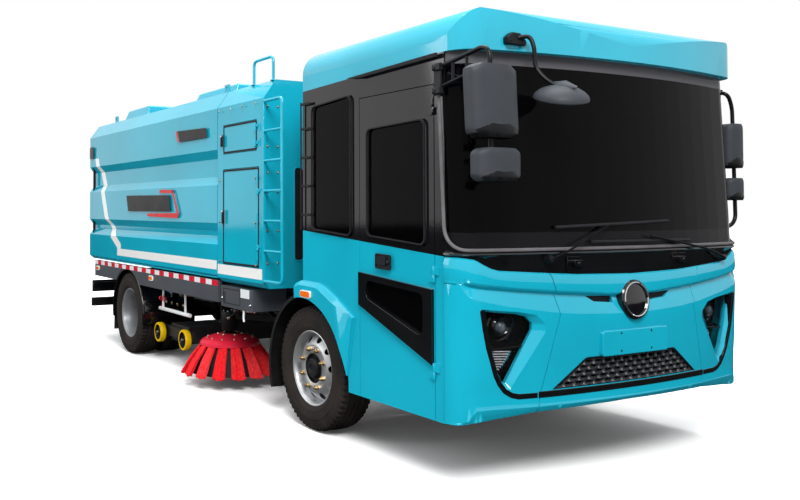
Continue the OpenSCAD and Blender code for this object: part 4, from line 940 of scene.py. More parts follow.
chrome = principled("bright_chromium_plate", "#d9dadc", 0.06, metallic=1.0, vary="#c4c5c8", vary_size_mm=60,
    vary_amount=0.4, rough_vary=0.03)
badge_centre = (nose_x - 0.004, 0, 1.016)
badge_axis = (1, 0, 0.10)
piece("front_badge", [turned([(0.0005, -0.02), (0.118, -0.02), (0.118, 0.018), (0.112, 0.026),
    (0.100, 0.028), (0.096, 0.022), (0.06, 0.027), (0.02, 0.029), (0.0005, 0.029)], badge_centre,
    badge_axis, 64)], gloss_plastic, "truck", angle=25)
piece("front_badge_ring", [turned([(0.098, 0.020), (0.103, 0.029), (0.0985, 0.032), (0.094, 0.029),
    (0.093, 0.020)], badge_centre, badge_axis, 64)], chrome, "truck")

# ---- Number plate holder ----
# Raised panel moulded into the fascia, with four screw holes and no plate.
holder = rounded_outline(rectangle(-0.283, 0.704, 0.283, 0.850), 0.022)
plate_face = nose_x + 0.020
piece("plate_holder", [prism(holder, "x", nose_x - 0.05, plate_face)], cyan_enamel, "truck",
    0.007, segments=3)
piece("plate_screw_holes", [turned(rectangle(0.0005, -0.002, 0.007, 0.0006), (plate_face, y, z), (1, 0, 0),
    16) for y in (-0.13, 0.13) for z in (0.728, 0.830)], black_rubber, "truck")

# ---- Lower grille ----
# Injection moulded ABS mesh of staggered oval cells in a rounded frame, clipped in from behind.
cell_w, cell_h = 0.076, 0.0285
verts, faces = [], []
for row in range(8):
    for column in range(-9, 10):
        cy = column * cell_w + (cell_w / 2 if row % 2 else 0)
        cz = 0.535 + row * cell_h
        edge = [(x, -1) for x in (-1, -0.5, 0, 0.5)] + [(1, -1),
            (1, 0)] + [(x, 1) for x in (1, 0.5, 0, -0.5)]
        edge += [(-1, 1), (-1, 0)]
        base = len(verts)
        for scale, depth in ((1, -0.012), (0, -0.020)):
            for ex, ez in edge:
                if scale:
                    y, z = cy + ex * cell_w / 2, cz + ez * cell_h / 2
                else:
                    a = math.atan2(ez, ex)
                    y = cy + math.cos(a) * (cell_w / 2 - 0.0050)
                    z = cz + math.sin(a) * (cell_h / 2 - 0.0030)
                z = min(max(z, 0.545), 0.702)
                reach = 0.612 - (z - 0.541) * (0.612 - 0.385) / 0.162
                y = min(max(y, -reach), reach)
                verts.append(around(arc_at(y), z, depth - 0.012))
        n = len(edge)
        faces += [(base + k, base + (k + 1) % n, base + n + (k + 1) % n, base + n + k) for k in range(n)]
grille_abs = principled("moulded_grille_abs", "#2e2f33", 0.28, vary="#3a3b40", vary_size_mm=90,
    vary_amount=0.5, rough_vary=0.05, ior=1.7)
mesh_plate = piece("grille_mesh", [(verts, faces)], grille_abs, "truck", angle=50)
modifier(mesh_plate, "SOLIDIFY", thickness=0.016, offset=0)
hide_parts("lower_grille")
frame_inside = [(y * 0.975, 0.6235 + (z - 0.6235) * 0.90) for y, z in grille_outline]
low = [around(arc_at(y), z, proud_at(y, z) + 0.002) for y, z in grille_outline]
verts = low + [around(arc_at(y), z, proud_at(y, z) - 0.004) for y, z in frame_inside]
verts += [around(arc_at(y), z, -0.06) for y, z in frame_inside] + [around(arc_at(y), z, -0.06) for y,
    z in grille_outline]
n = len(grille_outline)
faces = skin_faces(4, n, True)
piece("grille_frame", [(verts, faces)], black_plastic, "truck")
piece("grille_shadow_plate", [ribbon([(-0.60, 0.625), (0.60, 0.625)], 0.17, -0.085, -0.08)], black_rubber,
    "truck")

# ---- Headlamps ----
# Projector main lamp over a white reflector in a black housing, behind a clear polycarbonate
# cover, sunk in a chamfered recess of the fascia.
# Clear polycarbonate, hard coated.
clear_cover, tree = new_material("hard_coated_clear_polycarbonate")
shader = add_node(tree, "BsdfPrincipled", Roughness=0.02, IOR=1.4, Alpha=0.12)
place = add_node(tree, "TexCoord")
haze = add_node(tree, "TexNoise", links={"Vector": (place, "Object")}, Scale=14.0)
tint = add_node(tree, "MapRange", links={"Value": (haze, "Fac")}, To_Min=0.003, To_Max=0.02)
tree.links.new(tint.outputs[0], shader.inputs["Base Color"])
add_node(tree, "OutputMaterial", links={"Surface": (shader, 0)})
# Metallised fluted reflector.
reflector_metal = principled("vacuum_metallised_reflector", "#e8e9ec", 0.10, metallic=1.0, vary="#c9cacf",
    vary_size_mm=25, vary_amount=0.5, rough_vary=0.04)
lens_glass = principled("pressed_lens_glass", "#39424c", 0.03, vary="#7d8994", vary_size_mm=40,
    vary_amount=0.6, ior=1.6)
recess_round = rounded_outline(recess, 0.03, 4)
lamp_round = rounded_outline(lamp, 0.022, 4)
for label, s in sides.items():
    rings = []
    for outline, depth in ((recess_round, 0.0005), (lamp_round, -0.030), (lamp_round, -0.05),
            (recess_round, -0.05)):
        rings.append([on_fascia(y * s, z, depth) for y, z in outline])
    n = len(recess_round)
    verts = [p for r in rings for p in r]
    faces = skin_faces(4, n, True)
    piece("lamp_recess_" + label, [(verts, faces)], cyan_enamel, "truck", angle=20)

    def shell(y, depth=-0.032, thick=0.004):
        return [(1.03, depth), (0.9, depth), (0.7, depth), (0.53, depth), (0.53, depth - thick),
            (0.7, depth - thick), (0.9, depth - thick), (1.03, depth - thick)]
    arcs = [a for a in nose_columns() if a * s > arc_at(0.70)]
    if s < 0:
        arcs = [a for a in nose_columns() if a < -arc_at(0.70)]
    cover = piece("headlamp_cover_" + label, [wrapped(shell, arcs)], clear_cover, "truck")
    carved(cover, [prism(mirrored(lamp_round, s), "x", seam_x - 0.1, nose_x + 0.1)], "INTERSECT")
    back = piece("headlamp_housing_" + label, [wrapped(lambda y: [(1.03, -0.11), (0.53, -0.13),
        (0.53, -0.135), (1.03, -0.115)], arcs)], gloss_plastic, "truck")
    carved(back, [prism(mirrored(recess_round, s), "x", seam_x - 0.1, nose_x + 0.1)], "INTERSECT")
    spot = around(arc_at(0.918 * s), 0.895, -0.10)
    aim = (1, 0.12 * s, 0)
    piece("headlamp_bezel_" + label, [turned([(0.036, 0.0), (0.062, 0.0), (0.060, 0.02), (0.050, 0.028),
        (0.046, 0.022), (0.034, 0.016)], spot, aim, 40), turned([(0.064, -0.01), (0.084, -0.01),
        (0.083, 0.004), (0.076, 0.008), (0.068, 0.004)], spot, aim, 40)], gloss_plastic, "truck")
    piece("headlamp_projector_" + label, [turned([(0.0005, 0.0), (0.034, 0.0), (0.034, 0.018),
        (0.028, 0.030), (0.016, 0.038), (0.0005, 0.041)], spot, aim, 36)], lens_glass, "truck")
    # Horizontal shelf between the lamps, and the fluted lower reflector
    shelf = [on_fascia(y * s, z, d) for y, z, d in ((0.775, 0.815, -0.10), (1.02, 0.805, -0.10),
        (1.02, 0.780, -0.045), (0.79, 0.792, -0.045))]
    shelf += [p + Vector((0, 0, -0.012)) for p in shelf]
    box_faces = [(0, 1, 2, 3), (7, 6, 5, 4), (0, 4, 5, 1), (1, 5, 6, 2), (2, 6, 7, 3), (3, 7, 4, 0)]
    piece("headlamp_shelf_" + label, [(shelf, box_faces)], gloss_plastic, "truck", 0.002)
    corners = [(1.005, 0.775), (0.822, 0.765), (0.932, 0.645)]
    flutes = 9
    verts = []
    for i in range(flutes * 2 + 1):
        t = i / (flutes * 2)
        left = Vector(corners[0]).lerp(Vector(corners[2]), t)
        right = Vector(corners[1]).lerp(Vector(corners[2]), t)
        depth = -0.085 + (0.008 if i % 2 else 0)
        verts += [on_fascia(left.x * s, left.y, depth), on_fascia(right.x * s, right.y, depth)]
        verts += [on_fascia(right.x * s, right.y, -0.1), on_fascia(left.x * s, left.y, -0.1)]
    faces = skin_faces(flutes * 2 + 1, 4)
    last = flutes * 8
    faces += [(0, 1, 2, 3), (last + 3, last + 2, last + 1, last)]
    lower = piece("headlamp_reflector_" + label, [(verts, faces)], reflector_metal, "truck",
        angle=15)
    if label == "left":
        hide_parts("headlights")

# ---- Cowl and windscreen seal ----
# Polished black moulding under the windscreen, with two camera pods, and the grey rubber seal
# that holds the glass and turns round its lower corners.
seal_rubber = principled("grey_extruded_rubber", "#59575a", 0.45, bump_mm=0.1, bump_size_mm=3,
    vary="#737073", vary_size_mm=120, vary_amount=0.5, rough_vary=0.06)


def cowl_section(y):
    """(z, proud) loop of the cowl moulding at y."""
    low = along(top_line, y) - 0.012
    drop = min(0.05, max(0.012, (1.285 - low) * 0.5))
    return [(1.335, -0.050), (1.318, -0.010), (1.308, 0.004), (1.300, 0.006), (1.295, -0.002),
        (1.295 - drop * 0.5, -0.014), (low + drop * 0.4, -0.014), (low, -0.016), (low, -0.045),
        (1.300, -0.045)]


cowl = piece("cowl_moulding", [wrapped(cowl_section, nose_columns())], gloss_plastic, "truck",
    angle=28)
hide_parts("cowl")
for label, s in sides.items():
    y0 = 0.455 * s
    base = around(arc_at(y0), 1.238, -0.014)
    lift = 1.238
    pod = rounded_outline(rectangle(y0 - 0.062, lift - 0.042, y0 + 0.062, lift + 0.042), 0.008, 3)
    hood = rounded_outline(rectangle(y0 - 0.030, lift - 0.012, y0 + 0.030, lift + 0.022), 0.006, 3)
    piece("cowl_camera_" + label, [prism(pod, "x", base.x - 0.01, base.x + 0.007),
        prism(hood, "x", base.x, base.x + 0.034), turned([(0.0005, 0), (0.012, 0), (0.012, 0.006),
        (0.008, 0.009), (0.0005, 0.010)], (base.x + 0.030, y0, lift + 0.003), (1, 0, -0.3), 20)],
        gloss_plastic, "truck", 0.002)
screen_lean = math.radians(3)
edge_arc = half_arc - 0.010
corner = []
for k in range(9):
    a = math.radians(180 + 90 * k / 8)
    corner.append((-(edge_arc - 0.13) + 0.13 * math.cos(a), 1.455 + 0.13 * math.sin(a)))
line = [(-edge_arc, z) for z in (2.36, 2.2, 2.0, 1.8, 1.6)] + corner
line += [(a, 1.325) for a in (-0.9, -0.6, -0.3, 0)]
line += [(-a, z) for a, z in reversed(line[:-1])]
fine = []
for (a0, z0), (a1, z1) in zip(line, line[1:]):
    count = max(1, int(math.hypot(a1 - a0, z1 - z0) / 0.05))
    fine += [(a0 + (a1 - a0) * k / count, z0 + (z1 - z0) * k / count) for k in range(count)]
fine.append(line[-1])
piece("windscreen_seal", [sweep([around(a, z, 0.001, screen_lean) for a, z in fine], 0.010, 10, 0.8)],
    seal_rubber, "truck")

# ---- Side mirrors ----
# Rounded housings moulded in grey ABS, with flat main mirrors and curved wide-angle mirrors
# below them. They hang on bent black steel tubes clamped to the windscreen pillars.
mirror_grey = principled("grained_grey_mirror_abs", "#35383d", 0.5, bump_mm=0.12, bump_size_mm=1.8,
    vary="#3f4247", vary_size_mm=160, vary_amount=0.5, rough_vary=0.05)
mirror_glass = principled("silvered_mirror_glass", "#dfe3e6", 0.03, metallic=1.0, vary="#cfd4d8",
    vary_size_mm=300, vary_amount=0.4, rough_vary=0.015)
satin_black = principled("satin_black_powder_coat", "#0d0e10", 0.3, bump_mm=0.08, bump_size_mm=2,
    vary="#1a1b1e", vary_size_mm=60, vary_amount=0.5, rough_vary=0.05)


def housing(centre, width, depth, low, high, lean=0.0, steps=12):
    """Mirror housing, lofted upward: rounded plan, bowed front, pulled in at its top and foot."""
    verts = []
    around_count = 28
    for k in range(steps + 1):
        t = k / steps
        z = low + (high - low) * t
        edge = min(t, 1 - t) * (high - low)
        pull = 1 - max(0, 1 - edge / 0.035) ** 2.2 * 0.30
        for i in range(around_count):
            a = 2 * math.pi * i / around_count
            c, n = math.cos(a), math.sin(a)
            px = math.copysign(abs(c) ** 0.55, c) * depth / 2
            py = math.copysign(abs(n) ** 0.42, n) * width / 2 * pull
            if px > 0:
                px = px * (0.8 + 0.2 * pull) * (1 - 0.35 * (abs(py) / (width / 2)) ** 3)
            else:
                px = max(px, -depth * 0.42)
            verts.append((centre[0] + px, centre[1] + py + lean * (z - low), z))
    faces = skin_faces(steps + 1, around_count)
    faces.append(tuple(range(around_count - 1, -1, -1)))
    faces.append(tuple(steps * around_count + i for i in range(around_count)))
    return verts, faces


for side, s in sides.items():
    clamp_low, clamp_high = seam_x - 0.064, seam_x - 0.006
    skin = s * half_width
    if side == "right":
        head = (dx(1.850), -1.215)
        tubes = [sweep(bent([(seam_x - 0.042, -1.2145, 2.335), (head[0], -1.215, 2.405),
            (head[0], -1.215, 1.70)], 0.09, 8), 0.013, 14), sweep(bent([(seam_x - 0.034, -1.2135, 2.225),
            (head[0] - 0.012, -1.214, 2.300)], 0.02), 0.010, 12)]
        for t in (0.22, 0.52):
            x = seam_x + (head[0] - seam_x) * t
            tubes.append(sweep([(x, -1.2145, 2.335 + 0.07 * t + 0.006), (x, -1.2145, 2.232 + 0.07 * t)],
                0.009, 10))
        plates = [(2.180, 2.360)]
        boxes = [((head[0], -1.196), 0.316, 0.128, 1.915, 2.290, -0.05),
            ((head[0] + 0.002, -1.178), 0.296, 0.122, 1.690, 1.862, 0.0)]
    else:
        x, y = dx(1.530), 1.285
        tubes = [sweep(bent([(seam_x - 0.042, 1.2145, 2.35), (x, y - 0.05, 2.34), (x, y, 2.25),
            (x, y + 0.02, 1.48), (x, y - 0.04, 1.43), (seam_x - 0.042, 1.2145, 1.425)], 0.05, 6), 0.013,
            14)]
        plates = [(1.385, 1.465), (2.310, 2.390)]
        head = (x, y)
        boxes = [((x - 0.020, 1.2905), 0.166, 0.132, 1.830, 2.130, 0.0),
            ((x - 0.016, 1.2905), 0.166, 0.124, 1.610, 1.760, 0.0)]
    clamps = [slab((clamp_low, skin, low), (clamp_high, skin + s * 0.013, high)) for low, high in plates]
    for low, high in plates:
        for z in ([low + 0.025, high - 0.025] if high - low > 0.1 else [(low + high) / 2]):
            clamps.append(turned([(0.0005, 0), (0.017, 0), (0.017, 0.020), (0.012, 0.026), (0.0005, 0.026)],
                (seam_x - 0.042, skin + s * 0.010, z), (0, s, 0), 20))
            clamps.append(slab((seam_x - 0.060, skin + s * 0.002, z - 0.018),
                (seam_x + 0.005, skin + s * 0.031, z + 0.018)))
    piece("mirror_tubes_" + side, tubes, satin_black, "truck", angle=40)
    piece("mirror_clamps_" + side, clamps, black_plastic, "truck", 0.003)
    for number, (place, width, depth, low, high, lean) in enumerate(boxes):
        box_piece = piece(f"mirror_housing_{side}_{number + 1}",
            [housing(place, width, depth, low, high, lean, 16)], mirror_grey, "truck",
            angle=50)
        # Painted shade: a black band along the foot of the front stands in for the shaded hollow there
        shade_band_height = 0.070 if number == 0 else 0.052
        piece(f"mirror_painted_shade_{side}_{number + 1}", [housing((place[0] + 0.003, place[1]), width * 0.97,
            depth, low - 0.001, low + shade_band_height, lean, 10)], satin_black, "truck", angle=50)
        back = place[0] - depth * 0.42
        pane = rounded_outline(rectangle(place[1] - width / 2 + 0.026, low + 0.030,
            place[1] + width / 2 - 0.026, high - 0.030), 0.022)
        piece(f"mirror_pane_{side}_{number + 1}", [prism(pane, "x", back - 0.003, back + 0.004)],
            mirror_glass, "truck", 0.001)
        if side == "right" and number == 0:
            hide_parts("side_mirrors")
    # A wire for the heated pane, from the pillar along the upper tube
    if side == "right":
        piece("mirror_wire_right", [sweep(bent([(seam_x + 0.02, -1.198, 2.300),
            (seam_x + 0.12, -1.205, 2.262), (dx(1.76), -1.212, 2.285), (dx(1.80), -1.214, 2.27)], 0.05),
            0.005, 8)], black_rubber, "truck")

# ---- Front mirror ----
# Round wide-angle mirror over the windscreen: a ribbed ABS bowl on a bent arm, screwed to a
# moulded shoe beside a small swelling of the roof.
shoe_face = around(arc_at(-0.85), 2.49).x
bowl = Vector((dx(1.870), -0.722, 2.165))
tilt = Vector((0.30, -0.14, 1.0)).normalized()
rows = ((0.0005, 0.052), (0.030, 0.052), (0.060, 0.047), (0.092, 0.036), (0.118, 0.022), (0.138, 0.004),
    (0.146, -0.010), (0.147, -0.022), (0.141, -0.027), (0.134, -0.024), (0.070, -0.031), (0.0005, -0.035))
bowl_piece = piece("front_mirror_bowl", [turned(rows, bowl, tilt, 56)], mirror_grey, "truck",
    angle=40)
neck = bowl + tilt * 0.050 + Vector((-0.055, 0.0, 0.0))
arm = bent([(shoe_face + 0.012, -0.862, 2.492), (shoe_face + 0.045, -0.805, 2.505),
    (shoe_face + 0.070, -0.797, 2.44), (shoe_face + 0.075, -0.797, 2.325),
    (neck.x - 0.030, neck.y - 0.045, neck.z + 0.045), tuple(neck + Vector((0.03, 0.01, -0.012)))], 0.05, 8)
piece("front_mirror_arm", [sweep(arm, 0.012, 14)], satin_black, "truck", angle=40)
ridge_path = [neck + Vector((-0.020, -0.008, 0.010)), neck + Vector((0.02, 0.0, 0.0)), bowl + tilt * 0.050,
    bowl + tilt * 0.030 + Vector((0.09, 0.01, 0.0))]
piece("front_mirror_neck", [sweep(ridge_path, [0.030, 0.042, 0.040, 0.008], 18, 0.42)], mirror_grey,
    "truck", angle=50)
piece("front_mirror_pane", [turned([(0.0005, -0.036), (0.130, -0.028), (0.130, -0.030), (0.0005, -0.038)],
    bowl, tilt, 48)], mirror_glass, "truck")
shoe = rounded_outline([(-0.935, 2.455), (-0.800, 2.452), (-0.800, 2.482), (-0.845, 2.520), (-0.900, 2.522),
    (-0.935, 2.495)], 0.014)
piece("front_mirror_shoe", [prism(shoe, "x", shoe_face - 0.05, shoe_face + 0.018)], black_plastic, "truck",
    0.006, segments=3)
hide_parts("front_mirror")
piece("front_mirror_screws", [turned([(0.0005, 0), (0.008, 0), (0.007, 0.004), (0.0005, 0.005)],
    (shoe_face + 0.017, y, z), (1, 0, 0), 12) for y, z in ((-0.915, 2.475), (-0.87, 2.505),
    (-0.825, 2.470))], black_rubber, "truck")
piece("roof_swelling", [turned([(0.0005, 0.05), (0.03, 0.048), (0.06, 0.038), (0.09, 0.018), (0.11, -0.02),
    (0.0005, -0.05)], (shoe_face - 0.085, -0.87, 2.515), (0.55, -0.1, 0.8), 40)], cyan_enamel, "truck",
    angle=60)

# ---- Wipers ----
# Two pressed arms on splined spindles under the windscreen, with flexible rubber blades that
# follow the curve of the glass.
lean = math.radians(3)


def on_glass(y, z, proud):
    """Point ahead of the windscreen at (y, z)."""
    return around(arc_at(y), z, proud, lean)


parts, blades = [], []
for pivot, knee, tip, blade_left, blade_right in (((-0.656, 1.268), (-0.52, 1.325), (-0.229, 1.452),
        (-0.606, 1.447), (0.328, 1.479)), ((0.927, 1.235), (0.70, 1.300), (0.130, 1.389), (-0.355, 1.363),
        (0.543, 1.359))):
    base = around(arc_at(pivot[0]), pivot[1], 0.0)
    parts.append(turned([(0.0005, -0.02), (0.022, -0.02), (0.022, 0.020), (0.016, 0.032), (0.0005, 0.034)],
        base, (1, 0.12 if pivot[0] > 0 else -0.12, 0.25), 24))
    path = [around(arc_at(pivot[0]), pivot[1], 0.026), on_glass(*knee, 0.040), on_glass(*tip, 0.030)]
    parts.append(sweep(bent(path, 0.10, 5), [0.012] + [0.0095] * 5 + [0.008] * 3, 10, 0.6))
    count = 24
    blade = []
    for k in range(count + 1):
        t = k / count
        blade.append((blade_left[0] + (blade_right[0] - blade_left[0]) * t,
            blade_left[1] + (blade_right[1] - blade_left[1]) * t))
    blades.append(sweep([on_glass(y, z, 0.012) for y, z in blade], 0.0085, 8, 1.25))
    blades.append(sweep([on_glass(y, z - 0.006, 0.005) for y, z in blade], 0.004, 6))
arms = piece("wiper_arms", parts, satin_black, "truck", angle=40)
piece("wiper_blades", blades, black_rubber, "truck", angle=50)
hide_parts("wipers")

# ---- Seats ----
# Foam pads under plain woven cloth, on moulded shells and steel boxes. Each pad starts a little
# small, and a cloth pass swells it until its cover is tight.
weave, tree = new_material("charcoal_woven_seat_cloth")
place = add_node(tree, "TexCoord")
shader = add_node(tree, "BsdfPrincipled", Roughness=0.85)
shader.inputs["Sheen Weight"].default_value = 0.3
warp = add_node(tree, "TexWave", {"wave_type": "BANDS", "bands_direction": "Y"},
    {"Vector": (place, "Object")}, Scale=1000 / 3.0 / 20, Distortion=0.6)
weft = add_node(tree, "TexWave", {"wave_type": "BANDS", "bands_direction": "Z"},
    {"Vector": (place, "Object")}, Scale=1000 / 3.0 / 20, Distortion=0.6)
cross = add_node(tree, "Math", {"operation": "MULTIPLY"}, {0: (warp, "Fac"), 1: (weft, "Fac")})
mix = add_node(tree, "Mix", {"data_type": "RGBA"}, {0: (cross, 0)})
mix.inputs[6].default_value = linear("#232529")
mix.inputs[7].default_value = linear("#3c3f45")
tree.links.new(mix.outputs[2], shader.inputs["Base Color"])
bump = add_node(tree, "Bump", Strength=0.6, Distance=0.0006, links={"Height": (cross, 0)})
tree.links.new(bump.outputs[0], shader.inputs["Normal"])
add_node(tree, "OutputMaterial", links={"Surface": (shader, 0)})


pad_voxel = 0.010
cloth_frames = 20


def pad(name, low, high, cap):
    """Cushion between two corners: a crowned block, remeshed, swelled by cloth and smoothed."""
    low, high = Vector(low), Vector(high)
    middle, half = (low + high) / 2, (high - low) / 2
    half -= Vector((cap, cap, cap)) * 0.8
    verts, faces = [], []
    steps = 12
    index = {}
    for axis in range(3):
        u, v = (axis + 1) % 3, (axis + 2) % 3
        for end in (-1, 1):
            for i in range(steps + 1):
                for j in range(steps + 1):
                    p = [0.0, 0.0, 0.0]
                    p[axis], p[u], p[v] = end, 2 * i / steps - 1, 2 * j / steps - 1
                    key = tuple(round(c, 4) for c in p)
                    if key not in index:
                        index[key] = len(verts)
                        q = Vector(p)
                        roundness = 0.16
                        core = Vector([max(-1 + roundness * min(half) / h,
                            min(1 - roundness * min(half) / h, c)) for c, h in zip(p, half)])
                        away = Vector([(c - k) * h for c, k, h in zip(q, core, half)])
                        if away.length > 0:
                            away = away.normalized() * roundness * min(half)
                        verts.append(middle + Vector([k * h for k, h in zip(core, half)]) + away)
            for i in range(steps):
                for j in range(steps):
                    quad = []
                    for a, b in ((i, j), (i + 1, j), (i + 1, j + 1), (i, j + 1)):
                        p = [0.0, 0.0, 0.0]
                        p[axis], p[u], p[v] = end, 2 * a / steps - 1, 2 * b / steps - 1
                        quad.append(index[tuple(round(c, 4) for c in p)])
                    faces.append(quad if end > 0 else quad[::-1])
    obj = piece(name, [(verts, faces)], weave, "truck", angle=60)
    modifier(obj, "REMESH", mode="VOXEL", voxel_size=pad_voxel)
    bpy.context.view_layer.update()
    mesh = bpy.data.meshes.new_from_object(obj.evaluated_get(bpy.context.evaluated_depsgraph_get()))
    obj.modifiers.clear()
    obj.data = mesh
    start = [v.co.copy() for v in mesh.vertices]
    cloth = obj.modifiers.new("cloth", "CLOTH")
    cloth.settings.use_pressure = True
    cloth.settings.uniform_pressure_force = 4.0
    cloth.settings.effector_weights.gravity = 0.0
    cloth.settings.quality = 5
    for frame_number in range(1, cloth_frames + 1):
        bpy.context.scene.frame_set(frame_number)
    swelled = obj.evaluated_get(bpy.context.evaluated_depsgraph_get())
    moved = [v.co.copy() for v in swelled.data.vertices]
    obj.modifiers.clear()
    for v, a, b in zip(mesh.vertices, start, moved):
        step = b - a
        if step.length > cap:
            step = step.normalized() * cap
        v.co = a + step
    bpy.context.scene.frame_set(1)
    obj.data.materials.clear()
    obj.data.materials.append(weave)
    for polygon in mesh.polygons:
        polygon.use_smooth = True
    modifier(obj, "SMOOTH", factor=0.5, iterations=4)
    modifier(obj, "SUBSURF", levels=1, render_levels=1)
    return obj


seat_shell = principled("grained_seat_shell_abs", "#1d1e21", 0.5, bump_mm=0.15, bump_size_mm=2,
    vary="#26282b", vary_size_mm=120, vary_amount=0.5, rough_vary=0.05)
seat_x = dx(0.810)
shells = []
first_pad = None
for number, y in enumerate((-0.56, 0.56)):
    base = pad(f"seat_cushion_{number + 1}", (seat_x - 0.24, y - 0.245, 1.045),
        (seat_x + 0.25, y + 0.245, 1.150), 0.010)
    first_pad = first_pad or base
    pad(f"seat_back_{number + 1}", (seat_x - 0.345, y - 0.235, 1.100), (seat_x - 0.240, y + 0.235, 1.690),
        0.012)
    pad(f"headrest_{number + 1}", (seat_x - 0.345, y - 0.128, 1.715), (seat_x - 0.265, y + 0.128, 1.895),
        0.008)
    shells += [slab((seat_x - 0.165, y - 0.195, 0.506), (seat_x + 0.185, y + 0.195, 1.035)),
        slab((seat_x - 0.24, y - 0.245, 1.031), (seat_x + 0.245, y + 0.245, 1.052)),
        slab((seat_x - 0.360, y - 0.230, 1.075), (seat_x - 0.340, y + 0.230, 1.680))]
    shells += [sweep([(seat_x - 0.30, y + d, 1.66), (seat_x - 0.30, y + d, 1.74)], 0.007, 10)
        for d in (-0.06, 0.06)]
piece("seat_shells", shells, seat_shell, "truck", 0.010, segments=3)
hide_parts("seats")

# ---- Service module ----
# Closed steel body for the water tank and pumps, bent from 2 mm sheet and welded, with two
# doors a side. It is sprayed cyan, with a white band stuck on below the lower door.
module_front = cab_back_x - 0.579
module_rear = module_front - 0.815
stripe = "#e9eae8"
module_enamel = enamel("cyan_enamel_with_white_band", cyan, [(stripe,
    [(0, -s, 0, -2), (0, s, 0, 1.1965), (0, 0, 1, 1.004), (0, 0, -1, -1.086)]) for s in (-1, 1)])
dress("service_module", module_enamel, 0.006)
brass = principled("zinc_and_brass_plated_screws", "#a58d63", 0.3, metallic=1.0, vary="#c9c9c6",
    vary_size_mm=30, vary_amount=0.6, rough_vary=0.08)


def screw(place, axis, radius=0.010):
    """Button-head screw with a washer."""
    return turned([(0.0005, 0), (radius * 1.45, 0), (radius * 1.45, 0.0018), (radius, 0.002),
        (radius * 0.9, 0.006), (radius * 0.4, 0.0085), (radius * 0.35, 0.005), (0.0005, 0.005)], place,
        axis, 16)


door_kinds = ("service_door_", "upper_door_")
for side, s in sides.items():
    skin = s * half_width
    for node in door_kinds:
        dress(node + side, cyan_enamel, 0.004)
    # Rubber strip behind each door's edge
    for node in door_kinds:
        lo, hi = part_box(node + side)
        y = skin - s * 0.006
        edge = rounded_outline(rectangle(lo.x + 0.002, lo.z + 0.002, hi.x - 0.002, hi.z - 0.002), 0.012, 3)
        inner = rounded_outline(rectangle(lo.x + 0.016, lo.z + 0.016, hi.x - 0.016, hi.z - 0.016), 0.010, 3)
        piece(node + "seal_" + side, [ring(edge, inner, "y", skin - s * 0.022, skin - s * 0.014)],
            black_rubber, node + side)
    # Recessed paddle handles, each a cup with a flap and a lock
    for node, x, low, high in (("service_door_", dx(-1.291), 1.425, 1.540),
            ("upper_door_", dx(-1.316), 2.068, 2.166)):
        cup = rounded_outline(rectangle(x - 0.020, low, x + 0.020, high), 0.008, 3)
        cup_in = rounded_outline(rectangle(x - 0.014, low + 0.007, x + 0.014, high - 0.007), 0.005, 3)
        flap = rounded_outline(rectangle(x - 0.011, low + 0.012, x + 0.011, high - 0.020), 0.004, 3)
        handle = [ring(cup, cup_in, "y", skin - s * 0.001, skin + s * 0.006),
            prism(cup_in, "y", skin - s * 0.002, skin + s * 0.0015),
            prism(flap, "y", skin, skin + s * 0.011)]
        piece(node + "handle_" + side, handle, black_plastic, node + side, 0.0012)
        piece(node + "lock_" + side, [turned([(0.0005, 0), (0.011, 0), (0.011, 0.006), (0.008, 0.009),
            (0.0005, 0.009)], (x + 0.001, skin + s * 0.004, high - 0.012), (0, s, 0), 18)], chrome,
            node + side)
    piece("service_door_screws_" + side, [screw((dx(-0.714), skin, z), (0, s, 0), 0.007)
        for z in (1.785, 1.438, 1.112)], brass, "service_door_" + side)
    bolts = [screw((dx(-1.353), skin, z), (0, s, 0), 0.007) for z in (1.785, 1.438, 1.112)]
    bolts += [screw((dx(x), skin, 2.368), (0, s, 0), 0.006) for x in (-1.369, -1.158, -0.938, -0.715)]
    bolts += [screw((module_front, s * y, z), (1, 0, 0), 0.007) for y in (1.168, 1.077)
        for z in (2.34, 2.03, 1.83, 1.68, 1.38, 1.13)]
    piece("module_screws_" + side, bolts, brass, "truck")
    # Hinges along each door's front edge
    for node in door_kinds:
        lo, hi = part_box(node + side)
        heights = (lo.z + 0.06, hi.z - 0.06) if node == "upper_door_" else (lo.z + 0.09, (lo.z + hi.z) / 2,
            hi.z - 0.09)
        piece(node + "hinges_" + side, [turned(rectangle(0.0005, -0.03, 0.0065, 0.03),
            (hi.x + 0.012, skin + s * 0.007, z), (0, 0, 1), 14) for z in heights], cyan_enamel, "truck")
# Upright slot in the front face beside the ladder, and the rubber joint to the hopper
slot_shape = rounded_outline(rectangle(-0.925, 1.15, -0.850, 1.87), 0.03, 6)
slot_rim = rounded_outline(rectangle(-0.935, 1.14, -0.840, 1.88), 0.038, 6)
piece("module_slot", [prism(slot_shape, "x", module_front - 0.001, module_front + 0.002)], black_rubber,
    "truck")
piece("module_slot_rim", [ring(slot_rim, slot_shape, "x", module_front, module_front + 0.006)], cyan_enamel,
    "truck", 0.002)
section = [(-1.150, 0.976), (1.150, 0.976), (1.188, 1.010), (1.188, 2.395), (1.085, 2.540), (-1.085, 2.540),
    (-1.188, 2.395), (-1.188, 1.010)]
section_in = [(y * 0.965, 1.76 + (z - 1.76) * 0.96) for y, z in section]
piece("module_joint_seal", [ring(section, section_in, "x", module_rear - 0.010, module_rear + 0.002)],
    black_rubber, "truck")

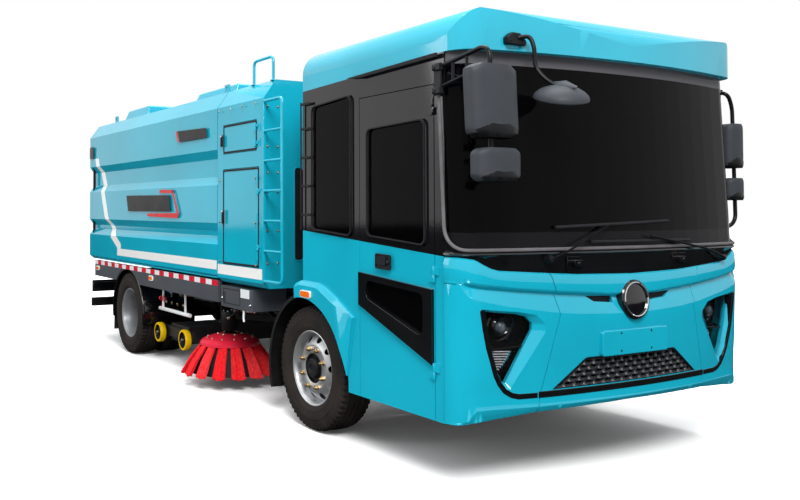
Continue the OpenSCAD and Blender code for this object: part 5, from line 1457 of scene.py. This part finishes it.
# ---- Ladder and roof hoop ----
# Ladder of square tube and round rungs welded to the module's front edge, with a hand hoop on
# the roof, all painted with the body.
stile_y = -(half_width - 0.014)
x0, x1 = module_front + 0.012, module_front + 0.290
parts = [slab((module_front, stile_y - 0.012, 0.985), (module_front + 0.022, stile_y + 0.012, 2.390))]
loop = bent([(x0, stile_y, 2.375), (x1, stile_y, 2.375), (x1, stile_y, 1.000), (x0, stile_y, 1.000)], 0.045,
    6)
parts.append(sweep(loop, 0.013, 14))
rung_spaces = 6
for k in range(1, rung_spaces):
    z = 1.0 + 1.375 * k / rung_spaces
    parts.append(sweep([(x0, stile_y, z), (x1, stile_y, z)], 0.0115, 12))
hoop_y = -(half_width - 0.13)
hoop = bent([(module_front - 0.37, hoop_y, 2.550), (module_front - 0.37, hoop_y, 2.743),
    (module_front - 0.05, hoop_y, 2.743), (module_front - 0.05, hoop_y, 2.550)], 0.05, 6)
parts.append(sweep(hoop, 0.012, 14))
for x in (module_front - 0.37, module_front - 0.05):
    parts.append(turned([(0.0005, 0), (0.028, 0), (0.028, 0.004), (0.014, 0.007), (0.0005, 0.007)],
        (x, hoop_y, 2.552), (0, 0, 1), 20))
ladder = piece("ladder_and_hoop", parts, cyan_enamel, "truck", angle=45)
round_edges(ladder, 0.002, angle=60, harden=False)
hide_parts("ladder")

# ---- Battery pack ----
# Steel cases of the drive battery stacked between cab and module, with cooling ribs and cables on the side
# that shows through the gap.
battery_paint = principled("grey_powder_coated_battery_case", "#24272b", 0.45, bump_mm=0.1, bump_size_mm=3,
    vary="#33373c", vary_size_mm=250, vary_amount=0.6, rough_vary=0.06)
dress("battery_pack", battery_paint, 0.008)
lo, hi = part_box("battery_pack")
for side, s in sides.items():
    ribs = [slab((lo.x + 0.03, s * hi.y - s * 0.002, z), (hi.x - 0.03, s * (hi.y + 0.012), z + 0.02))
        for z in [1.02 + 0.13 * k for k in range(9)]]
    piece("battery_ribs_" + side, ribs, battery_paint, "truck", 0.003)
    cables = [sweep(bent([(lo.x + 0.10 + 0.05 * k, s * (hi.y + 0.03), 2.10),
        (lo.x + 0.10 + 0.05 * k, s * (hi.y + 0.05 + 0.01 * k), 1.5),
        (lo.x + 0.16 + 0.04 * k, s * (hi.y + 0.07), 1.0), (lo.x + 0.10, s * (hi.y + 0.02), 0.90)], 0.15, 6),
        0.014, 10) for k in range(4)]
    piece("battery_cables_" + side, cables, black_rubber, "truck", angle=60)

# ---- Waste hopper ----
# Tipping steel body with pressed grooves along its sides, sprayed cyan. A white band is stuck on
# each side: it runs down from the rear, turns, and goes forward along the foot.
def band(points, width):
    """Zones of a slanting band through (x, z) points, as wide as given along X."""
    zones = []
    for (xa, za), (xb, zb) in zip(points, points[1:]):
        m = (xb - xa) / (zb - za)
        c = dx(xa) - m * za
        zones.append((stripe, [(0, 0, 1, zb), (0, 0, -1, -za), (1, 0, -m, c - width / 2),
            (-1, 0, m, -c - width / 2)]))
    return zones


fall = [(-4.76, 2.147), (-4.73, 2.07), (-4.55, 1.772), (-4.405, 1.47), (-4.31, 1.36), (-4.20, 1.265)]
turn_slope = (1.098 - 1.265) / (-3.86 + 4.20)
turn_c = 1.265 - turn_slope * dx(-4.20)
zones = band(fall, 0.13)
zones.append((stripe, [(1, 0, 0, dx(-4.24)), (-1, 0, 0, -dx(-3.90)), (-turn_slope, 0, 1, turn_c - 0.056),
    (turn_slope, 0, -1, -turn_c - 0.050)]))
zones.append((stripe, [(1, 0, 0, dx(-4.02)), (-1, 0, 0, -dx(-1.45)), (0, 0, 1, 1.035), (0, 0, -1, -1.112)]))
hopper_enamel = enamel("cyan_hopper_enamel_with_white_band", cyan, zones)
dress("hopper", hopper_enamel, 0.008, 3)
dress("tailgate", cyan_enamel, 0.008, 3)
vinyl_black = principled("calendered_black_vinyl", "#101013", 0.3, vary="#1a1a1e", vary_size_mm=120,
    vary_amount=0.5, rough_vary=0.05)
vinyl_red = principled("calendered_red_vinyl", "#c3272c", 0.3, vary="#d4373a", vary_size_mm=120,
    vary_amount=0.5, rough_vary=0.05)
for side, s in sides.items():
    skin = s * half_width
    low, high = skin - s * 0.001, skin + s * 0.0015

    def place(points):
        return [(dx(x), z) for x, z in points]
    # Blank black panel with a red bracket round its front end, and a small blank plate above
    piece("side_panel_black_" + side, [prism(place([(-3.673, 1.692), (-2.470, 1.681), (-2.436, 1.523),
        (-3.617, 1.525)]), "y", low, high)], vinyl_black, "hopper")
    bracket = [prism(place([(-2.714, 1.736), (-2.380, 1.729), (-2.385, 1.700), (-2.722, 1.706)]), "y", low,
        high), prism(place([(-2.410, 1.729), (-2.380, 1.729), (-2.235, 1.500), (-2.285, 1.510)]), "y", low,
        high), prism(place([(-2.235, 1.500), (-2.268, 1.464), (-3.038, 1.475), (-3.06, 1.503),
        (-2.285, 1.510)]), "y", low, high)]
    piece("side_panel_bracket_" + side, bracket, vinyl_red, "hopper")
    piece("upper_plate_" + side, [prism(place([(-2.273, 2.275), (-1.635, 2.255), (-1.618, 2.168),
        (-2.218, 2.170)]), "y", low, high)], vinyl_black, "hopper")
    piece("upper_plate_edge_" + side, [prism(place([(-2.318, 2.276), (-2.285, 2.275), (-2.232, 2.170),
        (-2.262, 2.170)]), "y", low, high)], vinyl_red, "hopper")
    small = rounded_outline(place(rectangle(-4.985, 2.150, -4.845, 2.290)), 0.02, 4)
    piece("rear_sign_" + side, [prism(small, "y", low, high)], vinyl_black, "hopper")
# Folded flange along the foot of each side
lo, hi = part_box("hopper")
for side, s in sides.items():
    piece("hopper_foot_flange_" + side, [slab((lo.x + 0.20, s * 1.150, 0.962),
        (hi.x - 0.02, s * 1.192, 0.974))], cyan_enamel, "hopper", 0.002)
# Fan outlet hoods over the roof, pressed with sloping sides, and edge seals round the two hatches
for number, (a, b, w, top) in enumerate(((-4.87, -4.09, 0.80, 2.738), (-3.02, -2.05, 0.70, 2.736))):
    foot = rectangle(dx(a) - 0.03, -w - 0.05, dx(b) + 0.012, w + 0.05)
    lid = rectangle(dx(a) + 0.10, -w, dx(b), w)
    verts = [(x, y, 2.545) for x, y in foot] + [(x, y, top) for x, y in lid]
    faces = [(3, 2, 1, 0), (4, 5, 6, 7)] + [(i, (i + 1) % 4, (i + 1) % 4 + 4, i + 4) for i in range(4)]
    piece(f"roof_hood_{number + 1}", [(verts, faces)], cyan_enamel, "hopper", 0.022, 30, 4)
for number, (a, b, w, h) in enumerate(((-4.05, -2.98, 1.5, 0.095), (-2.56, -1.62, 1.3, 0.08))):
    top = 2.553 + h
    rim = rounded_outline(rectangle(dx(a) - 0.008, -w / 2 - 0.008, dx(b) + 0.008, w / 2 + 0.008), 0.05, 5)
    core = rounded_outline(rectangle(dx(a) + 0.02, -w / 2 + 0.02, dx(b) - 0.02, w / 2 - 0.02), 0.04, 5)
    piece(f"roof_hatch_seal_{number + 1}", [ring(rim, core, "z", top - 0.030, top - 0.012)], black_rubber,
        "hopper", 0.003)
    piece(f"roof_hatch_lid_{number + 1}", [prism(rim, "z", top - 0.012, top + 0.006)], cyan_enamel,
        "hopper", 0.005, segments=3)
    hinges = [turned(rectangle(0.0005, -0.05, 0.011, 0.05), (dx(a) - 0.012, y, top - 0.012), (0, 1, 0), 16)
        for y in (-w / 3, w / 3)]
    hinges += [slab((dx(b) - 0.02, -0.04, top - 0.020), (dx(b) + 0.022, 0.04, top + 0.014))]
    piece(f"roof_hatch_fittings_{number + 1}", hinges, satin_black, "hopper", 0.002)

# ---- Tailgate ----
# Domed rear door with welded ribs, a rubber seal all round, side latches and an outlet valve. It
# hangs from two hinges on the roof.
lo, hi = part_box("tailgate")
back = lo.x
frame_out = rounded_outline(rectangle(-1.09, 1.03, 1.09, 2.38), 0.07, 6)
frame_in = rounded_outline(rectangle(-1.04, 1.08, 1.04, 2.33), 0.05, 6)
piece("tailgate_rib_frame", [ring(frame_out, frame_in, "x", back, back + 0.02)], cyan_enamel, "tailgate",
    0.004)
latches = []
for s in sides.values():
    for z in (1.18, 1.62, 2.06):
        latches.append(slab((back + 0.004, s * 0.90, z - 0.02), (back + 0.022, s * 1.03, z + 0.02)))
        latches.append(turned([(0.0005, 0), (0.020, 0), (0.020, 0.016), (0.014, 0.022), (0.0005, 0.022)],
            (back + 0.022, s * 0.965, z), (-1, 0, 0), 20))
piece("tailgate_latches", latches, satin_black, "tailgate", 0.003)
valve = [turned([(0.0005, 0), (0.075, 0), (0.075, 0.016), (0.062, 0.018), (0.062, 0.020), (0.040, 0.024),
    (0.0005, 0.026)], (back + 0.024, -0.55, 1.18), (-1, 0, 0), 32),
    sweep([(back + 0.004, -0.62, 1.18), (back + 0.004, -0.46, 1.24)], 0.007, 10)]
piece("tailgate_outlet_valve", valve, chrome, "tailgate")
seal_out = [(-1.175, 0.985), (1.175, 0.985), (1.194, 1.02), (1.194, 2.40), (1.09, 2.543), (-1.09, 2.543),
    (-1.194, 2.40), (-1.194, 1.02)]
seal_in = [(y * 0.975, 1.76 + (z - 1.76) * 0.97) for y, z in seal_out]
piece("tailgate_seal", [ring(seal_out, seal_in, "x", hi.x - 0.014, hi.x - 0.004)], black_rubber, "tailgate")

# ---- Side rails and tape ----
# Folded steel guard rails under the hopper, in grey paint, with red and white reflective tape
# along the upper edge and amber marker lamps.
skirt_grey = principled("satin_grey_rail_paint", "#43464c", 0.38, bump_mm=0.06, bump_size_mm=5,
    vary="#4c5056", vary_size_mm=300, vary_amount=0.5, rough_vary=0.05)
tape_red = principled("red_retroreflective_tape", "#d2122e", 0.28, coat=0.3, bump_mm=0.15, bump_size_mm=3.5,
    vary="#b50f26", vary_size_mm=25, vary_amount=0.5, rough_vary=0.05)
tape_white = principled("white_retroreflective_tape", "#dfe3e6", 0.28, coat=0.3, bump_mm=0.15,
    bump_size_mm=3.5, vary="#c9ced2", vary_size_mm=25, vary_amount=0.5, rough_vary=0.05)
dress("side_rails", skirt_grey, 0.004)
rail_lo, rail_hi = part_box("side_rails")
tape_marks = 28
for side, s in sides.items():
    face = s * rail_hi.y
    red, white = [], []
    length = (rail_hi.x - rail_lo.x) / tape_marks
    for k in range(tape_marks):
        a = rail_lo.x + k * length
        tape = slab((a, face - s * 0.001, 0.898), (a + length, face + s * 0.0012, 0.943))
        (red if k % 2 else white).append(tape)
    piece("rail_tape_red_" + side, red, tape_red, "truck")
    piece("rail_tape_white_" + side, white, tape_white, "truck")
    for number, x in enumerate((-2.98, -4.70)):
        cx, cz = dx(x), 0.855
        oval = rounded_outline(rectangle(cx - 0.055, cz - 0.026, cx + 0.055, cz + 0.026), 0.024, 5)
        lens = [((px - cx) * 0.76 + cx, (pz - cz) * 0.66 + cz) for px, pz in oval]
        piece(f"rail_marker_bezel_{side}_{number + 1}", [ring(oval, lens, "y", face, face + s * 0.012)],
            white_plastic, "truck", 0.002)
        piece(f"rail_marker_lens_{side}_{number + 1}", [prism(lens, "y", face, face + s * 0.018)],
            amber_lens, "truck", 0.004, segments=3)
    # Tool box lid with a latch, a lever, a blank plate and a white hook
    lo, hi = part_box("tool_boxes")
    x0, x1 = lo.x, hi.x
    out = s * hi.y
    lid = rounded_outline(rectangle(x0 + 0.05, lo.z + 0.03, x0 + 0.36, hi.z - 0.02), 0.012, 3)
    lid_in = rounded_outline(rectangle(x0 + 0.056, lo.z + 0.036, x0 + 0.354, hi.z - 0.026), 0.008, 3)
    piece("tool_box_lid_gap_" + side, [ring(lid, lid_in, "y", out, out + s * 0.0015)], black_rubber,
        "truck")
    lever = [slab((x0 + 0.075, out, lo.z + 0.035), (x0 + 0.092, out + s * 0.012, hi.z - 0.045)),
        screw((x0 + 0.030, out, lo.z + 0.07), (0, s, 0), 0.010),
        screw((x1 - 0.035, out, lo.z + 0.05), (0, s, 0), 0.009)]
    piece("tool_box_lever_" + side, lever, chrome, "truck", 0.003)
    piece("tool_box_plate_" + side, [slab((x1 - 0.20, out, hi.z - 0.075),
        (x1 - 0.05, out + s * 0.003, hi.z - 0.005))], tape_white, "truck", 0.001)
    hook = sweep(bent([(x1 - 0.16, out - s * 0.010, lo.z + 0.02), (x1 - 0.16, out - s * 0.005, lo.z - 0.06),
        (x1 - 0.15, out - s * 0.005, lo.z - 0.09)], 0.02), 0.009, 10)
    piece("tool_box_hook_" + side, [hook], tape_white, "truck", angle=60)
dress("tool_boxes", skirt_grey, 0.006)

# ---- Rear mudguards ----
# Vacuum formed black plastic arches with a rolled outer bead, bolted to the outriggers.
dress("rear_mudguards", gloss_plastic, 0.002)
rear_axle = (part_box("rear_wheels_right")[0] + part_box("rear_wheels_right")[1]) / 2
guard_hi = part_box("rear_mudguards")[1]
for side, s in sides.items():
    y = s * (guard_hi.y - 0.008)
    radius = tyre_radius + 0.040
    arc = [(rear_axle.x + radius * math.cos(math.radians(a)), y,
        tyre_radius + radius * math.sin(math.radians(a))) for a in range(-10, 191, 5)]
    piece("rear_arch_bead_" + side, [sweep(arc, 0.0125, 12, 0.8)], gloss_plastic, "truck",
        angle=60)
    flap = [slab((rear_axle.x - radius - 0.020, s * 0.62, 0.20),
        (rear_axle.x - radius - 0.012, s * (guard_hi.y - 0.02), 0.44))]
    piece("rear_mudflap_" + side, flap, black_rubber, "truck", 0.003)
dress("front_mudguards", principled("matt_black_liner_polyethylene", "#0f1011", 0.6, bump_mm=0.4,
    bump_size_mm=8, vary="#1d1c1b", vary_size_mm=90, vary_amount=0.6, rough_vary=0.08), 0.002)

# ---- Rear bumper and lamps ----
# Square steel underrun bars with red and white tape, and a row of moulded lamps on each side.
frame_black = principled("black_chassis_paint", "#0e0f11", 0.42, bump_mm=0.15, bump_size_mm=6,
    vary="#211f1d", vary_size_mm=140, vary_amount=0.5, rough_vary=0.08)
dress("rear_bumper", frame_black, 0.006)
lo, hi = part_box("rear_bumper")
red, white = [], []
mark = 0.15
for k in range(14):
    a = -1.05 + k * mark
    (red if k % 2 else white).append(slab((lo.x - 0.0006, a, 0.405), (lo.x + 0.001, a + mark, 0.450)))
piece("bumper_tape_red", red, tape_red, "truck")
piece("bumper_tape_white", white, tape_white, "truck")
red_lens = principled("moulded_red_polycarbonate", "#b00d14", 0.12, coat=0.6, bump_mm=0.5, bump_size_mm=5,
    vary="#d8242a", vary_size_mm=14, vary_amount=0.6)
lo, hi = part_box("tail_lamps")
dress("tail_lamps", black_plastic, 0.006)
for side, s in sides.items():
    middle = (lo.z + hi.z) / 2
    for label, a, b, material in (("stop", 0.0, 0.36, red_lens), ("reverse", 0.38, 0.62, white_plastic),
            ("turn", 0.64, 1.0, amber_lens)):
        ya, yb = 0.845 + 0.28 * a, 0.845 + 0.28 * b
        lens = rounded_outline(rectangle(s * ya, middle - 0.050, s * yb, middle + 0.050), 0.012, 4)
        piece(f"{label}_lens_{side}", [prism(lens, "x", lo.x - 0.002, lo.x + 0.004)], material, "truck",
            0.002)
# Blank plate holder in the middle of the bumper
piece("rear_plate_holder", [slab((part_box("rear_bumper")[0].x + 0.03, -0.25, 0.49),
    (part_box("rear_bumper")[0].x + 0.04, 0.25, 0.59))], black_plastic, "truck", 0.003)

# ---- Side brushes ----
# Pressed disc in red paint with bolted clamp plates, and tufts of red polypropylene bristle that
# flare outward to the road. The hub turns on a hydraulic motor.
disc_red = principled("pink_red_disc_enamel", "#d2233b", 0.35, bump_mm=0.1, bump_size_mm=6, vary="#b51b30",
    vary_size_mm=80, vary_amount=0.5, rough_vary=0.06)
bristle = principled("extruded_red_polypropylene", "#f0242c", 0.5, vary="#b8141c", vary_size_mm=25,
    vary_amount=0.8, rough_vary=0.08)
tuft_count = 15
brush_cuff = principled("black_rubber_brush_cuff", "#131314", 0.6, vary="#26221f", vary_size_mm=40,
    vary_amount=0.6)


def tuft(angle, centre, strands=96):
    """Flat bundle of bristles: strands on a grid, each a thin bar that leans out and spreads."""
    verts, faces = [], []
    out = Vector((math.cos(angle), math.sin(angle), 0))
    cross = Vector((-math.sin(angle), math.cos(angle), 0))
    for k in range(strands):
        u, v = (k % 24) / 23 - 0.5, (k // 24) / 3 - 0.5
        wobble = math.sin(k * 12.9898 + angle * 7.3) * 0.5
        root = centre + out * (0.240 + v * 0.020 + u * 0.010) + cross * (u * 0.070) + Vector((0, 0, 0.366))
        tip = centre + out * (0.408 + v * 0.030 + u * 0.022 + wobble * 0.010) + cross * (u * 0.106 + wobble
            * 0.006) + Vector((0, 0, 0.096 + abs(wobble) * 0.026 + abs(u) * 0.02))
        middle = root.lerp(tip, 0.5) + out * 0.016 + Vector((0, 0, -0.004))
        base = len(verts)
        for p, r in ((root, 0.0036), (middle, 0.0040), (tip, 0.0030)):
            verts += [p + out * r, p + cross * r, p - out * r, p - cross * r]
        for level in range(2):
            for i in range(4):
                j = (i + 1) % 4
                faces.append((base + level * 4 + i, base + level * 4 + j, base + (level + 1) * 4 + j,
                    base + (level + 1) * 4 + i))
        faces += [(base + 3, base + 2, base + 1, base), (base + 8, base + 9, base + 10, base + 11)]
    return verts, faces


for side, s in sides.items():
    lo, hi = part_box("side_brush_" + side)
    c = Vector(((lo.x + hi.x) / 2, (lo.y + hi.y) / 2, 0))
    body = "side_brush_" + side
    profile = [(0.060, 0.446), (0.110, 0.442), (0.160, 0.430), (0.215, 0.412), (0.245, 0.398),
        (0.266, 0.376), (0.270, 0.352), (0.262, 0.350), (0.236, 0.372), (0.210, 0.388), (0.060, 0.400)]
    piece("brush_disc_" + side, [turned(profile, c, (0, 0, 1), 72)], disc_red, body,
        angle=30)
    tufts = [tuft(math.radians(360 * k / tuft_count + 8), c) for k in range(tuft_count)]
    hair = piece("brush_tufts_" + side, tufts, bristle, body, angle=60)
    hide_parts("side_brush_" + side)
    cuffs = []
    for k in range(tuft_count):
        a = math.radians(360 * k / tuft_count + 8)
        out, cross = Vector((math.cos(a), math.sin(a), 0)), Vector((-math.sin(a), math.cos(a), 0))
        p = c + out * 0.240 + Vector((0, 0, 0.368))
        cuffs.append(sweep([p - cross * 0.037, p + cross * 0.037], 0.013, 8, 0.9))
    piece("brush_cuffs_" + side, cuffs, brush_cuff, body, angle=60)
    # Rubber dust skirt inside the ring of tufts
    skirt = turned([(0.0005, 0.372), (0.225, 0.372), (0.300, 0.250), (0.350, 0.115), (0.342, 0.112),
        (0.290, 0.245), (0.216, 0.360), (0.0005, 0.360)], c, (0, 0, 1), 60)
    piece("brush_skirt_" + side, [skirt], brush_cuff, body, angle=30)
    bolts = [screw((c.x + 0.205 * math.cos(a), c.y + 0.205 * math.sin(a), 0.413), (0, 0, 1), 0.010)
        for a in (math.radians(360 * k / 12 + 15) for k in range(12))]
    bolts += [screw((c.x + 0.105 * math.cos(a), c.y + 0.105 * math.sin(a), 0.442), (0, 0, 1), 0.011)
        for a in (math.radians(60 * k) for k in range(6))]
    piece("brush_bolts_" + side, bolts, brass, body)
    shaft = [turned([(0.022, 0.40), (0.062, 0.40), (0.062, 0.452), (0.040, 0.458), (0.022, 0.458)], c,
        (0, 0, 1), 32)]
    piece("brush_hub_" + side, shaft, frame_black, body, angle=35)

# ---- Brush arms and motors ----
# Welded steel arms in black paint carry the brushes on cast motors, with hydraulic hoses, plated
# fittings and an adjusting spindle.
hose_black = principled("braided_hydraulic_hose", "#121315", 0.45, bump_mm=0.25, bump_size_mm=3,
    vary="#202226", vary_size_mm=20, vary_amount=0.6, rough_vary=0.06)
zinc = principled("zinc_plated_fittings", "#b9bcc0", 0.28, metallic=1.0, vary="#cdb98a", vary_size_mm=35,
    vary_amount=0.6, rough_vary=0.08)
for side, s in sides.items():
    body = "brush_arm_" + side
    dress(body, frame_black, 0.004)
    lo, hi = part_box("side_brush_" + side)
    c = Vector(((lo.x + hi.x) / 2, (lo.y + hi.y) / 2, 0))
    fittings = []
    for k in range(2):
        y = c.y + s * (0.045 - 0.09 * k)
        fittings.append(turned([(0.0005, 0), (0.017, 0), (0.017, 0.020), (0.012, 0.022), (0.012, 0.045),
            (0.0005, 0.045)], (c.x + 0.06, y, 0.585), (1, 0, 0.25), 16))
    fittings += [screw((c.x + 0.056 * math.cos(a), c.y + 0.056 * math.sin(a), 0.640), (0, 0, 1), 0.009)
        for a in (math.radians(90 * k + 45) for k in range(4))]
    spindle = sweep([(c.x + 0.12, c.y - s * 0.02, 0.655), (c.x + 0.42, c.y - s * 0.04, 0.665)], 0.010, 12)
    fittings += [spindle, slab((c.x + 0.11, c.y - s * 0.05, 0.628), (c.x + 0.14, c.y + s * 0.02, 0.680))]
    piece("brush_fittings_" + side, fittings, zinc, body, 0.001)
    hoses = [sweep(bent([(c.x + 0.10, c.y + s * (0.045 - 0.09 * k), 0.597),
        (c.x + 0.22, c.y + s * 0.01, 0.69 + 0.02 * k), (c.x + 0.40, c.y - s * (0.10 + 0.03 * k), 0.70),
        (c.x + 0.56, c.y - s * (0.13 + 0.03 * k), 0.645)], 0.12, 8), 0.011, 10) for k in range(2)]
    piece("brush_hoses_" + side, hoses, hose_black, body, angle=60)

# ---- Suction carriage and casters ----
# Low welded nozzle box in grey paint, held up on rods, on four casters with yellow polyurethane
# tyres over black wheel centres.
nozzle_grey = principled("dark_grey_nozzle_paint", "#2b2d31", 0.45, bump_mm=0.2, bump_size_mm=7,
    vary="#45413c", vary_size_mm=120, vary_amount=0.5, rough_vary=0.08)
urethane = principled("cast_yellow_polyurethane", "#e6bc0a", 0.35, bump_mm=0.15, bump_size_mm=5,
    vary="#b8960c", vary_size_mm=40, vary_amount=0.5, rough_vary=0.06)
dress("suction_carriage", nozzle_grey, 0.004)
dress("suction_pipe", black_rubber, 0.003)
for name in ("front_right", "rear_right", "front_left", "rear_left"):
    lo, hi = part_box("caster_" + name)
    c = (lo + hi) / 2
    w = (hi.y - lo.y) / 2
    s = -1 if "right" in name else 1
    tread = [(0.078, -w * 0.9), (0.096, -w * 0.85), (0.100, -w * 0.45), (0.1005, 0), (0.100, w * 0.45),
        (0.096, w * 0.85), (0.078, w * 0.9)]
    obj = piece("caster_tyre_" + name, [turned([(r - 0.001, y) for r, y in tread], c, (0, 1, 0), 56)],
        urethane, "caster_" + name, angle=40)
    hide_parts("caster_" + name)
    centre = [(0.0005, -w * 0.7), (0.030, -w * 0.8), (0.034, -w * 0.3), (0.070, -w * 0.3),
        (0.077, -w * 0.85), (0.0785, -w * 0.85), (0.0785, w * 0.85), (0.077, w * 0.85), (0.070, w * 0.3),
        (0.034, w * 0.3), (0.030, w * 0.8), (0.0005, w * 0.7)]
    piece("caster_centre_" + name, [turned(centre, c, (0, 1, 0), 40)], frame_black, "caster_" + name,
        angle=35)
    bolt = turned([(0.0005, 0), (0.014, 0), (0.014, 0.012), (0.009, 0.014), (0.009, 0.020),
        (0.0005, 0.020)], (c.x, c.y + s * (w * 0.72), c.z), (0, s, 0), 6)
    piece("caster_bolt_" + name, [bolt], zinc, "caster_" + name)

# ---- Water pipes ----
# White painted spray bars with red hose clamps and brass nozzles, and a bright bent water pipe
# with a blue handled cock above the casters.
white_tube = principled("white_painted_tube", "#e4e6e8", 0.3, vary="#cfd0cf", vary_size_mm=70,
    vary_amount=0.5, rough_vary=0.05)
dress("spray_bars", white_tube, 0.002)
blue_grip = principled("blue_dipped_vinyl_grip", "#1450c8", 0.35, vary="#0f3fa0", vary_size_mm=20,
    vary_amount=0.5)
brown_cast = principled("brown_anodised_cylinder", "#6b4a34", 0.35, metallic=0.4, vary="#8a6546",
    vary_size_mm=45, vary_amount=0.6, rough_vary=0.08)
lo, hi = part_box("spray_bars")
bar_z = (lo.z + hi.z) / 2
for side, s in sides.items():
    y = s * (hi.y - 0.018)
    clamps = [turned(rectangle(0.0185, -0.012, 0.022, 0.012), (x, y, bar_z), (1, 0, 0), 28)
        for x in (lo.x + 0.03, lo.x + 0.10)]
    clamps.append(sweep(bent([(lo.x + 0.065, y, bar_z - 0.018), (lo.x + 0.06, y, bar_z - 0.07),
        (lo.x + 0.03, y, bar_z - 0.085)], 0.02), 0.006, 8))
    piece("spray_bar_clamps_" + side, clamps, disc_red, "truck")
    jets = [turned([(0.0005, 0), (0.010, 0), (0.010, 0.012), (0.006, 0.022), (0.0005, 0.022)],
        (lo.x + 0.16 + 0.14 * k, y, bar_z - 0.016), (0.3, 0, -1), 14) for k in range(4)]
    piece("spray_jets_" + side, jets, brass, "truck")
    x = lo.x + 0.16
    pipe = bent([(x + 0.02, y - s * 0.05, bar_z + 0.02), (x + 0.02, y - s * 0.05, bar_z + 0.165),
        (x - 0.09, y - s * 0.045, bar_z + 0.185), (x - 0.17, y - s * 0.04, bar_z + 0.13)], 0.035, 8)
    piece("water_pipe_" + side, [sweep(pipe, 0.011, 14)], chrome, "truck", angle=60)
    cock = [turned([(0.0005, -0.022), (0.016, -0.022), (0.019, 0.0), (0.016, 0.022), (0.0005, 0.022)],
        (x + 0.02, y - s * 0.05, bar_z + 0.07), (0, 0, 1), 18)]
    piece("water_cock_" + side, cock, zinc, "truck")
    piece("water_cock_grip_" + side, [slab((x - 0.045, y - s * 0.045, bar_z + 0.062),
        (x + 0.02, y - s * 0.030, bar_z + 0.072))], blue_grip, "truck", 0.003)
    # Filter cylinder with a round metal cap, hung from the frame beside the pipe
    f = Vector((lo.x + 0.42, s * 0.98, 0.748))
    piece("filter_body_" + side, [turned([(0.0005, -0.14), (0.042, -0.14), (0.048, -0.13), (0.048, 0.06),
        (0.044, 0.066), (0.044, 0.072), (0.0005, 0.072)], f, (-0.95, s * 0.3, 0), 32)], brown_cast, "truck")
    piece("filter_cap_" + side, [turned([(0.0005, 0.072), (0.052, 0.072), (0.058, 0.082), (0.058, 0.104),
        (0.050, 0.112), (0.040, 0.106), (0.030, 0.104), (0.0005, 0.104)], f, (-0.95, s * 0.3, 0), 36)],
        zinc, "truck")
    piece("filter_hanger_" + side, [slab((f.x - 0.015, s * 0.955, 0.79), (f.x + 0.015, s * 1.0, 0.832)),
        slab((f.x - 0.012, s * 0.945, 0.735), (f.x + 0.012, s * 0.955, 0.83))], frame_black, "truck",
        0.002)

# ---- Chassis and axles ----
# Pressed channel rails, cast axles and forged knuckles in black chassis paint, with a film of
# brown road dust.
for node in ("chassis_frame", "front_axle", "rear_axle", "knuckle_right", "knuckle_left"):
    dress(node, frame_black, 0.003)
rod_chrome = principled("hard_chromed_piston_rod", "#cfd1d4", 0.08, metallic=1.0, vary="#b9bcc0",
    vary_size_mm=90, vary_amount=0.4, rough_vary=0.03)
dress("lift_rods", rod_chrome, 0.001)
dress("lift_cylinders", frame_black, 0.002)
for side, s in sides.items():
    # Hoses and cables along the rail, between the cab and the carriage
    runs = []
    for k in range(5):
        y, z = s * (0.52 + 0.035 * k), 0.70 + 0.022 * k
        runs.append(sweep(bent([(dx(-0.45), s * 0.47, z + 0.05), (dx(-0.62), y, z),
            (dx(-1.25), y + s * 0.05, z - 0.03), (dx(-1.75), y + s * 0.02, z - 0.02),
            (dx(-2.15), s * 0.50, z)], 0.16, 7), 0.012 - 0.001 * (k % 3), 10))
    piece("rail_hoses_" + side, runs, hose_black, "truck", angle=60)
    unions = []
    for k in range(6):
        p = Vector((dx(-0.66 - 0.13 * k), s * (0.74 + 0.03 * (k % 3)), 0.70 + 0.03 * (k % 2)))
        unions.append(turned([(0.0005, -0.02), (0.013, -0.02), (0.013, -0.006), (0.010, -0.004),
            (0.010, 0.01), (0.015, 0.012), (0.015, 0.024), (0.0005, 0.024)], p, (0.3, s, 0.2 * (k % 3)),
            6 + 6 * (k % 2)))
        unions.append(sweep([p + Vector((0, -s * 0.06, 0.0)), p], 0.008, 8))
    piece("valve_fittings_" + side, unions, brass, "truck", angle=30)
    block = [slab((dx(-0.72), s * 0.56, 0.66), (dx(-0.56), s * 0.70, 0.80)),
        slab((dx(-1.36), s * 0.56, 0.70), (dx(-0.80), s * 0.72, 0.79))]
    piece("valve_block_" + side, block, frame_black, "truck", 0.004)

# ---- Cab floor and dashboard ----
# Rubber-coated steel floor, a soft grained dashboard with two displays, and the steering wheel
# foamed over a steel ring.
dress("cab_floor", principled("black_rubber_floor_mat", "#1b1c1e", 0.7, bump_mm=0.6, bump_size_mm=9,
    vary="#2a2724", vary_size_mm=100, vary_amount=0.5, rough_vary=0.06), 0.002)
dash_vinyl = principled("grained_dashboard_vinyl", "#3a3c40", 0.55, bump_mm=0.25, bump_size_mm=2.5,
    vary="#44464a", vary_size_mm=200, vary_amount=0.5, rough_vary=0.05)
dress("dashboard", dash_vinyl, 0.02, 4)
dress("steering_wheel", principled("foamed_polyurethane_rim", "#191a1c", 0.5, bump_mm=0.2, bump_size_mm=2.5,
    vary="#26272a", vary_size_mm=80, vary_amount=0.5, rough_vary=0.05), 0.003)
for number, (y, w) in enumerate(((0.56, 0.16), (0.0, 0.13))):
    screen = rounded_outline(rectangle(y - w, 1.235, y + w, 1.345), 0.015, 4)
    piece(f"display_{number + 1}", [prism(screen, "x", seam_x - 0.13, seam_x - 0.10)], gloss_plastic,
        "truck", 0.004)
